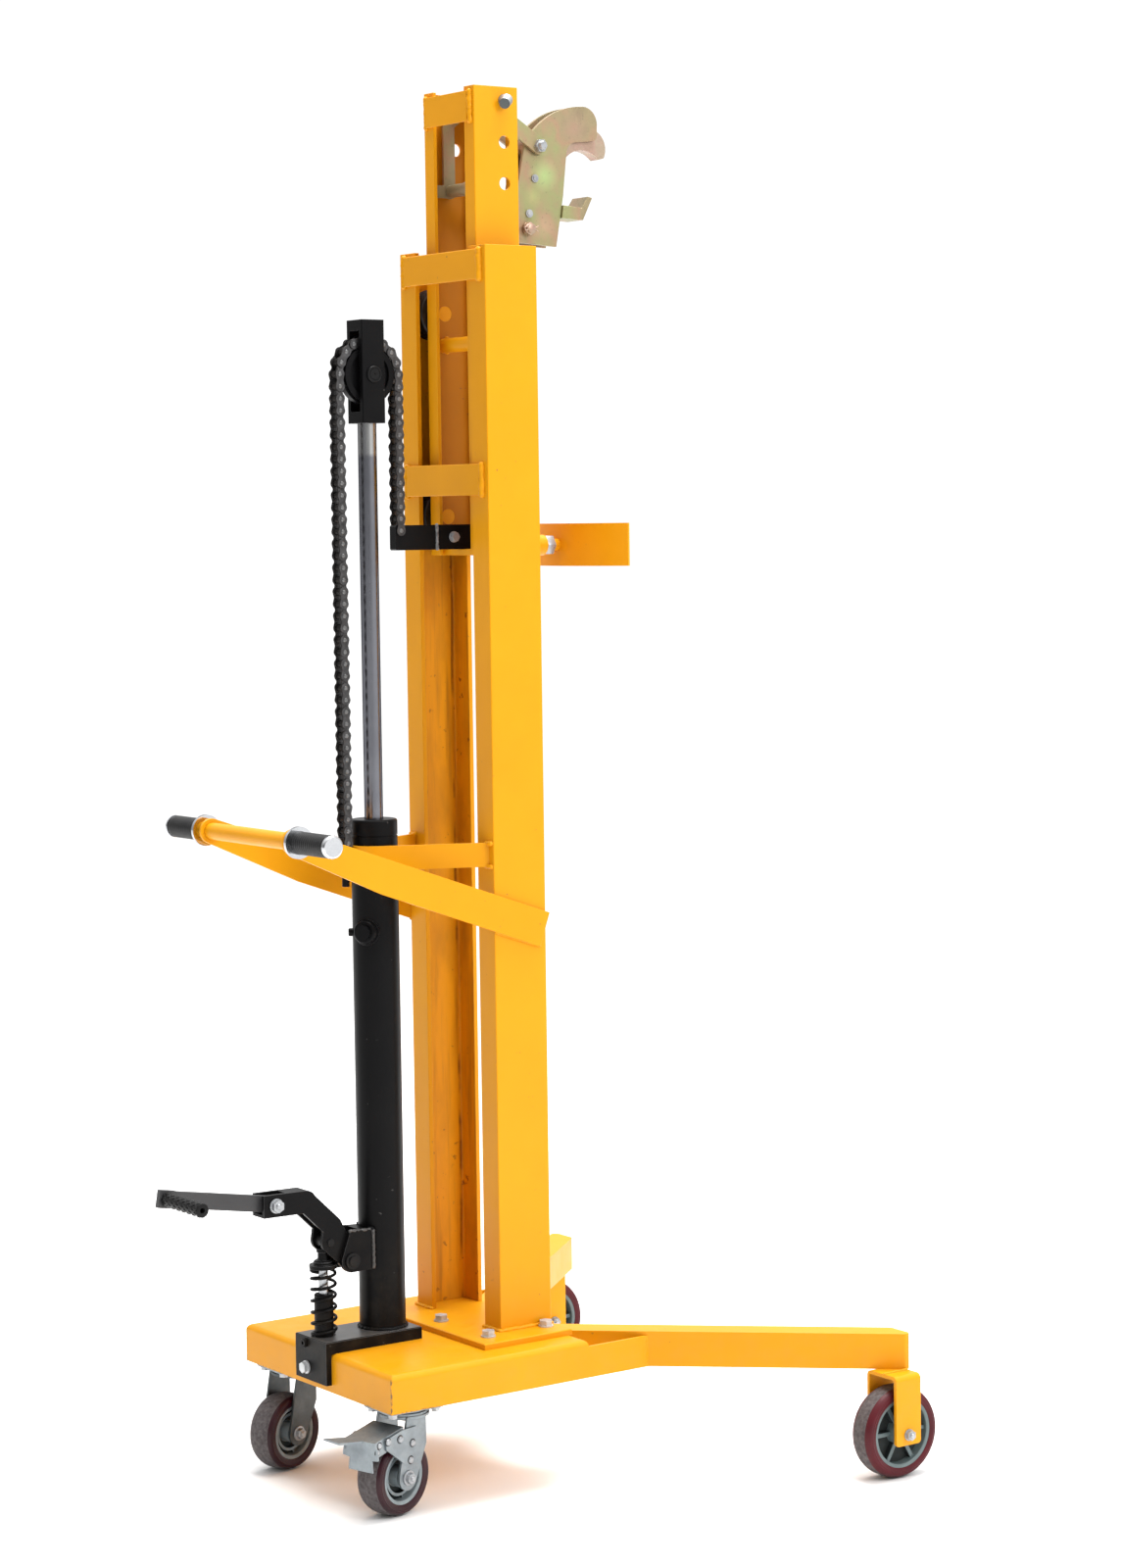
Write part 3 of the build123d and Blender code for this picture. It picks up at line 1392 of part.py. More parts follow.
with BuildPart() as grip_head_plates:
    for way in (1, -1):
        with BuildSketch(side_plane(way * plate_in)):
            with BuildLine():
                crown = ThreePointArc((137, 2163), (190, 2212), (250, 2228))
                brow = ThreePointArc(crown @ 1, (275, 2219), (282, 2196))
                Line(brow @ 1, (282, 2183))
                chin = ThreePointArc((282, 2183), (279, 2176), (272, 2173))
                Line(chin @ 1, (236, 2169))
                neck = ThreePointArc((236, 2169), (224, 2162), (219.5, 2148))
                Polyline(neck @ 1, (212, 2081), (197, 1998), (113, 2003), (122, 2094), (137, 2163))
            make_face()
            with Locations(head_at):
                Circle(head_bolt_radius + run_fit, mode=Mode.SUBTRACT)
            with Locations(tail_at):
                Circle(head_bolt_radius + bolt_gap, mode=Mode.SUBTRACT)
            with Locations(rivet_at, stop_at):
                Circle(4 + run_fit, mode=Mode.SUBTRACT)
        extrude(amount=-way * head_sheet)
save(grip_head_plates, "grip_head_plates")

with BuildPart() as grip_jaw:
    with BuildSketch(side_plane(plate_in)):
        Polygon((172, 2045), (208, 2045), (211, 2064), (172, 2064), align=None)
    extrude(amount=2 * plate_in)
    with BuildSketch(side_plane(plate_out + 4)):
        Polygon((206.5, 2045), (249, 2043), (268, 2080), (259, 2082), (246, 2063), (209.5, 2066), align=None)
    extrude(amount=2 * (plate_out + 4))
save(grip_jaw, "grip_jaw")

with BuildPart() as grip_pins:
    for spot in (rivet_at, stop_at):
        with BuildSketch(Plane.XZ):
            with Locations(spot):
                Circle(4)
        extrude(amount=plate_out + 4, both=True)
        for way in (1, -1):
            with BuildSketch(side_plane(way * plate_out)):
                with Locations(spot):
                    Circle(6.5)
            extrude(amount=-way * 2.5)
save(grip_pins, "grip_pins")

with BuildPart() as grip_lower_link:
    with BuildSketch(side_plane(8)):
        strut(lower_at, tail_at, link_width - 3)
        with Locations(lower_at):
            Circle(lower_pin_radius + run_fit, mode=Mode.SUBTRACT)
    extrude(amount=16)
    with BuildSketch(Plane.XZ):
        with Locations(tail_at):
            Circle(head_bolt_radius)
    extrude(amount=plate_out + 12, both=True)
    for way in (1, -1):
        with BuildSketch(side_plane(way * (plate_out + slip))):
            with Locations(tail_at):
                Circle(11)
        extrude(amount=-way * 3)
save(grip_lower_link, "grip_lower_link")

print(f"plunger stroke {stroke:.2f} mm for {pedal_press} degrees, chain radius {chain_radius:.3f} mm")
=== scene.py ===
import json
import math
import random

import bpy
from mathutils import Matrix, Vector


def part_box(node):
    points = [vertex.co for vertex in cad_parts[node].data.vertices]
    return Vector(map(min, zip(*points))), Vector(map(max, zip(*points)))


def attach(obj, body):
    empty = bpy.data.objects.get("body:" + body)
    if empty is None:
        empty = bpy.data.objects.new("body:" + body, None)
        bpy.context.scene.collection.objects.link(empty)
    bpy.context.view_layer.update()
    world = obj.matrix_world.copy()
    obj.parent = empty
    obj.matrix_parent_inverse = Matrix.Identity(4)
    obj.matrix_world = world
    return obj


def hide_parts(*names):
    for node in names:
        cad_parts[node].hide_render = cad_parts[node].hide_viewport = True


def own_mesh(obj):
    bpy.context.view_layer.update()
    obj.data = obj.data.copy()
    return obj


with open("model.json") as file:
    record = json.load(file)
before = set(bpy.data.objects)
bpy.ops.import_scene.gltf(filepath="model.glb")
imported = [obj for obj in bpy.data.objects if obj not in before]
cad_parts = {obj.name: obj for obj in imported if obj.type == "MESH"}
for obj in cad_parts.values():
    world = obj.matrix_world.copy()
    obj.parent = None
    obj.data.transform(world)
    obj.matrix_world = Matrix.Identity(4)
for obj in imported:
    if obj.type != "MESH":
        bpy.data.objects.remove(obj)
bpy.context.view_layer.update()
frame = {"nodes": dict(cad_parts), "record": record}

nodes = frame["nodes"]
mm = 0.001
draw = random.Random(7)
print("frame loaded:", len(nodes), "nodes")

# small helpers that do what the hand does in the viewport, with sizes in mm


def pickOnly(obj):
    if bpy.context.object and bpy.context.object.mode != "OBJECT":
        bpy.ops.object.mode_set(mode="OBJECT")
    bpy.ops.object.select_all(action="DESELECT")
    obj.select_set(True)
    bpy.context.view_layer.objects.active = obj


def settle(obj):
    pickOnly(obj)
    bpy.ops.object.transform_apply(location=True, rotation=True, scale=True)
    return obj


def useModifier(obj, kind, **settings):
    pickOnly(obj)
    modifier = obj.modifiers.new(kind.title(), kind)
    for key, value in settings.items():
        setattr(modifier, key, value)
    bpy.ops.object.modifier_apply(modifier=modifier.name)
    return obj


def bevelEdges(obj, width, segments, angle, **settings):
    return useModifier(
        obj, "BEVEL", width=width * mm, segments=segments, limit_method="ANGLE",
        angle_limit=math.radians(angle), **settings,
    )


def smooth(obj, angle=35, flatFaces=False):
    pickOnly(obj)
    bpy.ops.object.shade_smooth_by_angle(angle=math.radians(angle))
    if flatFaces:
        # broad faces keep their own direction, only the narrow ones between them turn
        useModifier(obj, "WEIGHTED_NORMAL", weight=50, keep_sharp=True)
    return obj


def cleanMesh(obj, gap=0.01):
    pickOnly(obj)
    bpy.ops.object.mode_set(mode="EDIT")
    bpy.ops.mesh.select_all(action="SELECT")
    bpy.ops.mesh.remove_doubles(threshold=gap * mm)
    bpy.ops.mesh.normals_make_consistent(inside=False)
    bpy.ops.object.mode_set(mode="OBJECT")
    return obj


def joinAll(pieces, name):
    bpy.ops.object.select_all(action="DESELECT")
    for piece in pieces:
        piece.select_set(True)
    bpy.context.view_layer.objects.active = pieces[0]
    if len(pieces) > 1:
        bpy.ops.object.join()
    joined = bpy.context.view_layer.objects.active
    joined.name = name
    joined.data.name = name
    return settle(joined)


def copyAt(source, matrix, name):
    twin = bpy.data.objects.new(name, source.data.copy())
    bpy.context.scene.collection.objects.link(twin)
    twin.data.transform(matrix)
    return twin


def dropPiece(obj):
    bpy.data.objects.remove(obj, do_unlink=True)


def axisTurn(direction):
    # turns a piece built along Z to lie along that direction
    return Vector((0, 0, 1)).rotation_difference(Vector(direction)).to_matrix().to_4x4()


def placeAlong(obj, at, direction):
    # a piece built along Z goes to its place and lies along that direction
    obj.data.transform(Matrix.Translation(Vector(at) * mm) @ axisTurn(direction))
    return obj


def setFinish(obj, *materials):
    obj.data.materials.clear()
    for material in materials:
        obj.data.materials.append(material)
    return obj


def fitMixed(obj, body, slotName, *replaced):
    # the piece already carries its finishes, face by face
    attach(obj, body)
    if replaced:
        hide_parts(*replaced)
    return obj


def fit(obj, body, slotName, material, *replaced):
    return fitMixed(setFinish(obj, material), body, slotName, *replaced)


def drawLine(name, points, gap=0.001):
    # a point is dragged from corner to corner, and edit mode stays on
    bpy.ops.object.select_all(action="DESELECT")
    bpy.ops.mesh.primitive_plane_add(size=mm, location=(0, 0, 0))
    line = bpy.context.active_object
    line.name = name
    line.data.name = name
    bpy.ops.object.mode_set(mode="EDIT")
    bpy.ops.mesh.select_all(action="SELECT")
    bpy.ops.mesh.merge(type="CENTER")
    corners = [Vector((x * mm, y * mm, z * mm)) for x, y, z in points]
    bpy.ops.transform.translate(value=corners[0])
    for first, last in zip(corners[:-1], corners[1:]):
        bpy.ops.mesh.extrude_vertices_move(TRANSFORM_OT_translate={"value": last - first})
    bpy.ops.mesh.select_all(action="SELECT")
    bpy.ops.mesh.remove_doubles(threshold=gap * mm)
    return line


def below(side):
    # the same half outline under the middle, in the order that leads up to this one
    return [(r, -h) for r, h in reversed(side)]


def turned(name, outline, steps=64, closed=True):
    # outline of (radius, height) spun about Z
    points = [(r, 0, h) for r, h in outline]
    obj = drawLine(name, points + points[:1] if closed else points)
    bpy.ops.mesh.spin(steps=steps, angle=2 * math.pi, center=(0, 0, 0), axis=(0, 0, 1))
    bpy.ops.object.mode_set(mode="OBJECT")
    return cleanMesh(obj)


def cutPlate(name, outline, thick):
    # closed outline of (x, z) filled and drawn out along Y, half to each side
    points = [(x, -thick / 2, z) for x, z in outline]
    plate = drawLine(name, points + points[:1])
    bpy.ops.mesh.edge_face_add()
    bpy.ops.mesh.extrude_region_move(TRANSFORM_OT_translate={"value": (0, thick * mm, 0)})
    bpy.ops.object.mode_set(mode="OBJECT")
    return cleanMesh(plate)


roundSides = {"large": 40, "middle": 32, "small": 24, "thin": 8}


def prism(name, sides, radius, height, middle=0.0, bevel=0.0):
    # stands along Z, with its middle at that height
    bpy.ops.object.select_all(action="DESELECT")
    bpy.ops.mesh.primitive_cylinder_add(
        vertices=sides, radius=radius * mm, depth=height * mm, location=(0, 0, middle * mm),
    )
    obj = bpy.context.active_object
    obj.name = name
    settle(obj)
    if bevel:
        bevelEdges(obj, bevel, segments=2, angle=40)
    return obj


def hexagon(name, flats, height, middle, bevel):
    return prism(name, 6, flats / math.sqrt(3), height, middle, bevel)


def block(name, size, place, bevel):
    bpy.ops.object.select_all(action="DESELECT")
    bpy.ops.mesh.primitive_cube_add(size=1, location=Vector(place) * mm)
    obj = bpy.context.active_object
    obj.name = name
    obj.scale = Vector(size) * mm
    settle(obj)
    return bevelEdges(obj, bevel, segments=3, angle=30)


# shared shader groups

colour4 = "NodeSocketColor"
number = "NodeSocketFloat"
white = (1, 1, 1, 1)
grey = (0.5, 0.5, 0.5, 1)
black = (0, 0, 0, 1)


def newGroup(name, inputs, outputs):
    group = bpy.data.node_groups.new(name, "ShaderNodeTree")
    for label, kind, value in inputs:
        socket = group.interface.new_socket(name=label, in_out="INPUT", socket_type=kind)
        socket.default_value = value
    for label, kind in outputs:
        group.interface.new_socket(name=label, in_out="OUTPUT", socket_type=kind)
    start = group.nodes.new("NodeGroupInput")
    end = group.nodes.new("NodeGroupOutput")
    return group, start, end


def addNode(tree, kind, **values):
    node = tree.nodes.new(kind)
    for key, value in values.items():
        if hasattr(node, key):
            setattr(node, key, value)
        else:
            node.inputs[key].default_value = value
    return node


def objectPlace(tree):
    return addNode(tree, "ShaderNodeTexCoord").outputs["Object"]


def splitPlace(tree, where):
    split = addNode(tree, "ShaderNodeSeparateXYZ")
    tree.links.new(where, split.inputs[0])
    return split.outputs["X"], split.outputs["Y"], split.outputs["Z"]


def stretched(tree, where, scale):
    mapping = addNode(tree, "ShaderNodeMapping", Scale=scale)
    tree.links.new(where, mapping.inputs["Vector"])
    return mapping.outputs["Vector"]


def noiseAt(tree, vector, scale, detail=3.0, roughness=0.55):
    noise = addNode(tree, "ShaderNodeTexNoise", Scale=scale, Detail=detail, Roughness=roughness)
    tree.links.new(vector, noise.inputs["Vector"])
    return noise.outputs["Fac"]


def remap(tree, value, low, high, outLow=0.0, outHigh=1.0):
    node = tree.nodes.new("ShaderNodeMapRange")
    node.inputs["From Min"].default_value = low
    node.inputs["From Max"].default_value = high
    node.inputs["To Min"].default_value = outLow
    node.inputs["To Max"].default_value = outHigh
    tree.links.new(value, node.inputs["Value"])
    return node.outputs["Result"]


def noiseMask(tree, where, mask):
    # noise of (scale, detail, roughness), cut between two levels
    if "stretch" in mask:
        where = stretched(tree, where, mask["stretch"])
    return remap(tree, noiseAt(tree, where, *mask["noise"]), *mask["levels"], *mask.get("range", (0.0, 1.0)))


def reckon(tree, operation, first, *others):
    # one operation over several values, taken in turn
    for other in others:
        node = tree.nodes.new("ShaderNodeMath")
        node.operation = operation
        for socket, value in zip(node.inputs, (first, other)):
            if isinstance(value, (int, float)):
                socket.default_value = value
            else:
                tree.links.new(value, socket)
        first = node.outputs[0]
    return first


def sizeOf(tree, value):
    return reckon(tree, "ABSOLUTE", value, 0)


def gapTo(tree, value, target):
    return sizeOf(tree, reckon(tree, "SUBTRACT", value, target))


def blendColour(tree, factor, first, second):
    node = tree.nodes.new("ShaderNodeMix")
    node.data_type = "RGBA"
    tree.links.new(factor, node.inputs["Factor"])
    slots = [s for s in node.inputs if s.type == "RGBA"]
    for socket, value in zip(slots, (first, second)):
        if isinstance(value, tuple):
            socket.default_value = value
        else:
            tree.links.new(value, socket)
    return [s for s in node.outputs if s.type == "RGBA"][0]


paintWear = {
    "drift": {"noise": (5.5, 4), "levels": (0.3, 0.75)},
    "dust": {"noise": (38, 5), "levels": (0.42, 0.8)},
    "dustHeights": (0.45, 0.14), "dustColour": (0.33, 0.24, 0.13, 1), "dustMatt": 0.4,
    "speck": {"noise": (140, 2, 0.4), "levels": (0.735, 0.76)},
    "speckPatch": {"noise": (11, 2), "levels": (0.5, 0.68)}, "speckMatt": 0.3,
    "matt": {"noise": (24, 4), "levels": (0.2, 0.8), "range": (-0.06, 0.08)},
    "peelNoise": (420, 2), "peelRise": 0.5,
}


def makePaintSkin(wear):
    # enamel: slow tone drift, orange peel, floor dust low down, small chips
    group, start, end = newGroup(
        "paintSkin",
        [("Paint", colour4, white), ("Shade", colour4, white), ("Chip", colour4, black),
         ("Dust", number, 0.3), ("Chips", number, 0.5), ("Gloss", number, 0.3)],
        [("Color", colour4), ("Roughness", number), ("Height", number)],
    )
    where = objectPlace(group)
    height = splitPlace(group, where)[2]
    drift = noiseMask(group, where, wear["drift"])
    base = blendColour(group, drift, start.outputs["Paint"], start.outputs["Shade"])
    low = remap(group, height, *wear["dustHeights"])
    dusty = reckon(group, "MULTIPLY", low, noiseMask(group, where, wear["dust"]), start.outputs["Dust"])
    dusted = blendColour(group, dusty, base, wear["dustColour"])
    speck = noiseMask(group, where, wear["speck"])
    patch = noiseMask(group, where, wear["speckPatch"])
    chipped = reckon(group, "MULTIPLY", speck, patch, start.outputs["Chips"])
    group.links.new(blendColour(group, chipped, dusted, start.outputs["Chip"]), end.inputs["Color"])
    matt = noiseMask(group, where, wear["matt"])
    dustMatt = reckon(group, "MULTIPLY", dusty, wear["dustMatt"])
    chipMatt = reckon(group, "MULTIPLY", chipped, wear["speckMatt"])
    rough = reckon(group, "ADD", start.outputs["Gloss"], matt, dustMatt, chipMatt)
    group.links.new(rough, end.inputs["Roughness"])
    peel = reckon(group, "MULTIPLY", noiseAt(group, where, *wear["peelNoise"]), wear["peelRise"])
    group.links.new(reckon(group, "SUBTRACT", peel, chipped), end.inputs["Height"])
    return group


metalGrain = {
    "cloudDetail": 5.0, "cloudRoughness": 0.6, "cloudLevels": (0.3, 0.72),
    "spot": {"noise": (190, 3), "levels": (0.62, 0.75)},
    "spotColour": (0.06, 0.05, 0.045, 1), "spotMatt": 0.3,
    "fineNoise": (260, 4), "fineLevels": (0.25, 0.8), "fineMatt": (-0.07, 0.12), "fineRise": 0.6,
}


def makeMetalSkin(grain):
    # plated or bare steel, and moulded parts: cloudy tone, fine grain, darker spots
    group, start, end = newGroup(
        "metalSkin",
        [("Light", colour4, white), ("Dark", colour4, grey), ("Scale", number, 30.0),
         ("Spots", number, 0.3), ("Gloss", number, 0.3)],
        [("Color", colour4), ("Roughness", number), ("Height", number)],
    )
    where = objectPlace(group)
    cloud = addNode(
        group, "ShaderNodeTexNoise", Detail=grain["cloudDetail"], Roughness=grain["cloudRoughness"],
    )
    group.links.new(where, cloud.inputs["Vector"])
    group.links.new(start.outputs["Scale"], cloud.inputs["Scale"])
    tone = remap(group, cloud.outputs["Fac"], *grain["cloudLevels"])
    base = blendColour(group, tone, start.outputs["Light"], start.outputs["Dark"])
    spotted = reckon(group, "MULTIPLY", noiseMask(group, where, grain["spot"]), start.outputs["Spots"])
    group.links.new(blendColour(group, spotted, base, grain["spotColour"]), end.inputs["Color"])
    fine = noiseAt(group, where, *grain["fineNoise"])
    fineMatt = remap(group, fine, *grain["fineLevels"], *grain["fineMatt"])
    spotMatt = reckon(group, "MULTIPLY", spotted, grain["spotMatt"])
    group.links.new(reckon(group, "ADD", start.outputs["Gloss"], fineMatt, spotMatt), end.inputs["Roughness"])
    group.links.new(reckon(group, "MULTIPLY", fine, grain["fineRise"]), end.inputs["Height"])
    return group


# places in metres: the inside of the channel, and the height where the marks end
channelRub = {
    "web": (-0.0004, 0.0002), "rear": (-0.0105, -0.0095), "front": (0.0765, 0.0755), "top": (1.86, 1.70),
    "swayNoise": (3.0, 2), "swayMiddle": 0.5, "swayReach": 0.010, "line": (0.0042, 0.0008),
    "gaps": {"noise": (9.0, 4), "levels": (0.44, 0.58)},
    "streak": {
        "stretch": (60, 60, 3.0), "noise": (1.0, 5, 0.62), "levels": (0.50, 0.70), "range": (0.0, 0.65),
    },
    "smear": {
        "stretch": (14, 14, 4.5), "noise": (1.0, 5, 0.6), "levels": (0.46, 0.70), "range": (0.0, 0.5),
    },
    "blot": {"noise": (44, 4), "levels": (0.65, 0.70), "range": (0.0, 0.85)},
}


def makeRubSkin(rub):
    # dark upright lines and stains that the rollers leave on the inside of a channel
    group, start, end = newGroup(
        "rubMarks",
        [("Web", number, 0.118), ("Line", number, 0.05), ("Amount", number, 0.7)],
        [("Mask", number)],
    )
    where = objectPlace(group)
    x, y, z = splitPlace(group, where)
    web = remap(group, reckon(group, "SUBTRACT", start.outputs["Web"], sizeOf(group, y)), *rub["web"])
    rear = remap(group, x, *rub["rear"])
    front = remap(group, x, *rub["front"])
    top = remap(group, z, *rub["top"])
    sway = reckon(group, "SUBTRACT", noiseAt(group, where, *rub["swayNoise"]), rub["swayMiddle"])
    swayed = reckon(group, "ADD", x, reckon(group, "MULTIPLY", sway, rub["swayReach"]))
    thin = remap(group, gapTo(group, swayed, start.outputs["Line"]), *rub["line"])
    line = reckon(group, "MULTIPLY", thin, noiseMask(group, where, rub["gaps"]))
    stains = [noiseMask(group, where, rub[kind]) for kind in ("streak", "smear", "blot")]
    marks = reckon(group, "MAXIMUM", line, *stains)
    mask = reckon(group, "MULTIPLY", marks, web, rear, front, top, start.outputs["Amount"])
    group.links.new(mask, end.inputs["Mask"])
    return group


# distances from the corner and from the bottom edge, in metres
edgeChips = {
    "corner": (0.0034, 0.0008), "bottom": (0.0034, 0.0006), "along": (0.16, 0.03),
    "ragged": {"noise": (120, 4), "levels": (0.50, 0.60)},
}


def makeEdgeWear(chips):
    # chips along an upright corner of the deck and along its bottom edge beside that corner
    group, start, end = newGroup(
        "edgeWear",
        [("CornerX", number, 0.0), ("CornerY", number, 0.0), ("Bottom", number, 0.0),
         ("Amount", number, 0.9)],
        [("Mask", number)],
    )
    where = objectPlace(group)
    x, y, z = splitPlace(group, where)
    besideX = gapTo(group, x, start.outputs["CornerX"])
    besideY = gapTo(group, sizeOf(group, y), start.outputs["CornerY"])
    above = gapTo(group, z, start.outputs["Bottom"])
    corner = remap(group, reckon(group, "MAXIMUM", besideX, besideY), *chips["corner"])
    along = remap(group, reckon(group, "ADD", besideX, besideY), *chips["along"])
    bottom = reckon(group, "MULTIPLY", remap(group, above, *chips["bottom"]), along)
    worn = reckon(group, "MAXIMUM", corner, bottom)
    ragged = noiseMask(group, where, chips["ragged"])
    group.links.new(reckon(group, "MULTIPLY", worn, ragged, start.outputs["Amount"]), end.inputs["Mask"])
    return group


paintSkin = makePaintSkin(paintWear)
edgeWear = makeEdgeWear(edgeChips)
metalSkin = makeMetalSkin(metalGrain)
rubMarks = makeRubSkin(channelRub)
bumpDepth = {"paint": 0.0006, "metal": 0.0004}


def startMaterial(name, **fixed):
    material = bpy.data.materials.new(name)
    material.use_nodes = True
    shader = material.node_tree.nodes["Principled BSDF"]
    for key, value in fixed.items():
        shader.inputs[key.replace("_", " ")].default_value = value
    return material, material.node_tree, shader


def placeGroup(tree, group, **values):
    node = tree.nodes.new("ShaderNodeGroup")
    node.node_tree = group
    for key, value in values.items():
        node.inputs[key].default_value = value
    return node


def wearSkin(tree, skin, shader, colour, strength, depth):
    # the skin's gloss and bump, under a colour
    tree.links.new(colour, shader.inputs["Base Color"])
    tree.links.new(skin.outputs["Roughness"], shader.inputs["Roughness"])
    bump = addNode(tree, "ShaderNodeBump", Strength=strength, Distance=depth)
    tree.links.new(skin.outputs["Height"], bump.inputs["Height"])
    tree.links.new(bump.outputs["Normal"], shader.inputs["Normal"])


def paint(name, settings, rub=False):
    material, tree, shader = startMaterial(name, Specular_IOR_Level=settings["sheen"], Metallic=0.0)
    skin = placeGroup(
        tree, paintSkin, Paint=settings["paint"], Shade=settings["shade"], Chip=settings["chip"],
        Dust=settings["dust"], Chips=settings["chips"], Gloss=settings["gloss"],
    )
    colour = skin.outputs["Color"]
    if rub:
        marks = placeGroup(tree, rubMarks, Web=settings["web"], Line=settings["line"], Amount=settings["rub"])
        colour = blendColour(tree, marks.outputs["Mask"], colour, settings["rubColour"])
    if "corner" in settings:
        cornerX, cornerY, bottom = settings["corner"]
        wear = placeGroup(tree, edgeWear, CornerX=cornerX, CornerY=cornerY, Bottom=bottom)
        colour = blendColour(tree, wear.outputs["Mask"], colour, settings["chip"])
    wearSkin(tree, skin, shader, colour, settings["peel"], bumpDepth["paint"])
    return material


def metal(name, settings):
    edge = settings.get("edge", 1.0)
    material, tree, shader = startMaterial(
        name, Metallic=settings["metallic"], Specular_Tint=(edge, edge, edge, 1),
        Specular_IOR_Level=settings.get("sheen", 0.5),
    )
    skin = placeGroup(
        tree, metalSkin, Light=settings["light"], Dark=settings["dark"], Scale=settings["scale"],
        Spots=settings["spots"], Gloss=settings["gloss"],
    )
    wearSkin(tree, skin, shader, skin.outputs["Color"], settings["bump"], bumpDepth["metal"])
    return material


yellowLook = {
    "paint": (0.72, 0.305, 0.0045, 1), "shade": (0.675, 0.278, 0.0036, 1), "chip": (0.10, 0.07, 0.04, 1),
    "dust": 0.08, "chips": 0.7, "gloss": 0.36, "sheen": 0.16, "peel": 0.08,
    "web": 0.1186, "line": 0.0695, "rub": 0.85, "rubColour": (0.13, 0.045, 0.008, 1),
}
blackLook = {
    "paint": (0.0035, 0.0035, 0.004, 1), "shade": (0.006, 0.0058, 0.006, 1), "chip": (0.13, 0.125, 0.12, 1),
    "dust": 0.07, "chips": 0.45, "gloss": 0.34, "sheen": 0.075, "peel": 0.14,
}
# oily black, lighter than the plain black as a painted highlight
oilAndSheenBlackLook = {
    "paint": (0.034, 0.033, 0.033, 1), "shade": (0.072, 0.068, 0.067, 1), "chip": (0.22, 0.215, 0.21, 1),
    "dust": 0.2, "chips": 0.8, "gloss": 0.30, "sheen": 0.5, "peel": 0.2,
}
pinBlackLook = {
    "paint": (0.0065, 0.0065, 0.007, 1), "shade": (0.011, 0.0108, 0.0106, 1), "chip": (0.16, 0.155, 0.15, 1),
    "dust": 0.1, "chips": 0.8, "gloss": 0.33, "sheen": 0.12, "peel": 0.15,
}
# painted highlight for the broken edges of black pieces
edgeHighlightBlackLook = {
    "paint": (0.030, 0.030, 0.032, 1), "shade": (0.045, 0.044, 0.045, 1), "chip": (0.20, 0.19, 0.18, 1),
    "dust": 0.1, "chips": 0.9, "gloss": 0.34, "sheen": 0.3, "peel": 0.1,
}
wornBlackLook = {
    "paint": (0.030, 0.030, 0.032, 1), "shade": (0.052, 0.051, 0.052, 1), "chip": (0.20, 0.19, 0.18, 1),
    "dust": 0.1, "chips": 0.9, "gloss": 0.46, "sheen": 0.35, "peel": 0.3,
}
zincLook = {
    "light": (0.285, 0.32, 0.337, 1), "dark": (0.17, 0.19, 0.206, 1), "scale": 24.0,
    "spots": 0.2, "gloss": 0.40, "bump": 0.07, "metallic": 0.75, "edge": 0.6,
}
whiteZincLook = {
    "light": (0.42, 0.435, 0.45, 1), "dark": (0.27, 0.28, 0.295, 1), "scale": 60.0,
    "spots": 0.2, "gloss": 0.32, "bump": 0.05, "metallic": 0.55, "edge": 0.6,
}
boltZincLook = {
    **whiteZincLook, "light": (0.62, 0.63, 0.64, 1), "dark": (0.42, 0.43, 0.44, 1), "metallic": 0.35,
}
# painted shade: a darker zinc for the left caster fork and for the lower side of the hanger's end
shadedZincLook = {
    "light": (0.11, 0.122, 0.126, 1), "dark": (0.062, 0.069, 0.072, 1), "scale": 24.0,
    "spots": 0.3, "gloss": 0.42, "bump": 0.07, "metallic": 0.75, "edge": 0.5,
}
chainFaceLook = {
    "light": (0.092, 0.090, 0.092, 1), "dark": (0.034, 0.033, 0.033, 1), "scale": 90.0,
    "spots": 0.6, "gloss": 0.36, "bump": 0.12, "metallic": 0.85, "edge": 0.5,
}
# dark steel, also laid as painted shade on chain edges, chain rollers and round the feet of rivets
darkSteelAndPaintedShadeLook = {
    "light": (0.048, 0.044, 0.042, 1), "dark": (0.021, 0.0195, 0.019, 1), "scale": 70.0,
    "spots": 0.5, "gloss": 0.42, "bump": 0.12, "metallic": 0.8, "edge": 0.3,
}
chainPinLook = {
    "light": (0.21, 0.21, 0.21, 1), "dark": (0.13, 0.13, 0.13, 1), "scale": 90.0,
    "spots": 0.4, "gloss": 0.30, "bump": 0.1, "metallic": 0.9, "edge": 0.5,
}
plungerLook = {
    "light": (0.42, 0.43, 0.44, 1), "dark": (0.30, 0.31, 0.32, 1), "scale": 30.0,
    "spots": 0.2, "gloss": 0.28, "bump": 0.03, "metallic": 1.0, "edge": 0.3,
}
weldScuffLook = {
    "light": (0.26, 0.26, 0.265, 1), "dark": (0.07, 0.07, 0.072, 1), "scale": 160.0,
    "spots": 0.4, "gloss": 0.45, "bump": 0.2, "metallic": 0.5, "edge": 0.5,
}
rodLook = {
    "light": (0.25, 0.253, 0.28, 1), "dark": (0.19, 0.193, 0.217, 1), "scale": 12.0,
    "spots": 0.0, "gloss": 0.24, "bump": 0.03, "metallic": 1.0, "edge": 0.1,
    "drawn": (120, 120, 1.5), "lines": (0.45, 0.75, 0.0, 0.15), "lineColour": (0.12, 0.12, 0.13, 1),
    "band": (1.655, 1.662), "bandRub": (0.62, 0.40, 0.35, 1.0), "bandColour": (0.50, 0.50, 0.49, 1),
}
chromeLook = {
    "light": (0.74, 0.75, 0.77, 1), "dark": (0.58, 0.60, 0.63, 1), "scale": 20.0,
    "spots": 0.1, "gloss": 0.12, "bump": 0.02, "metallic": 1.0, "edge": 0.4,
}
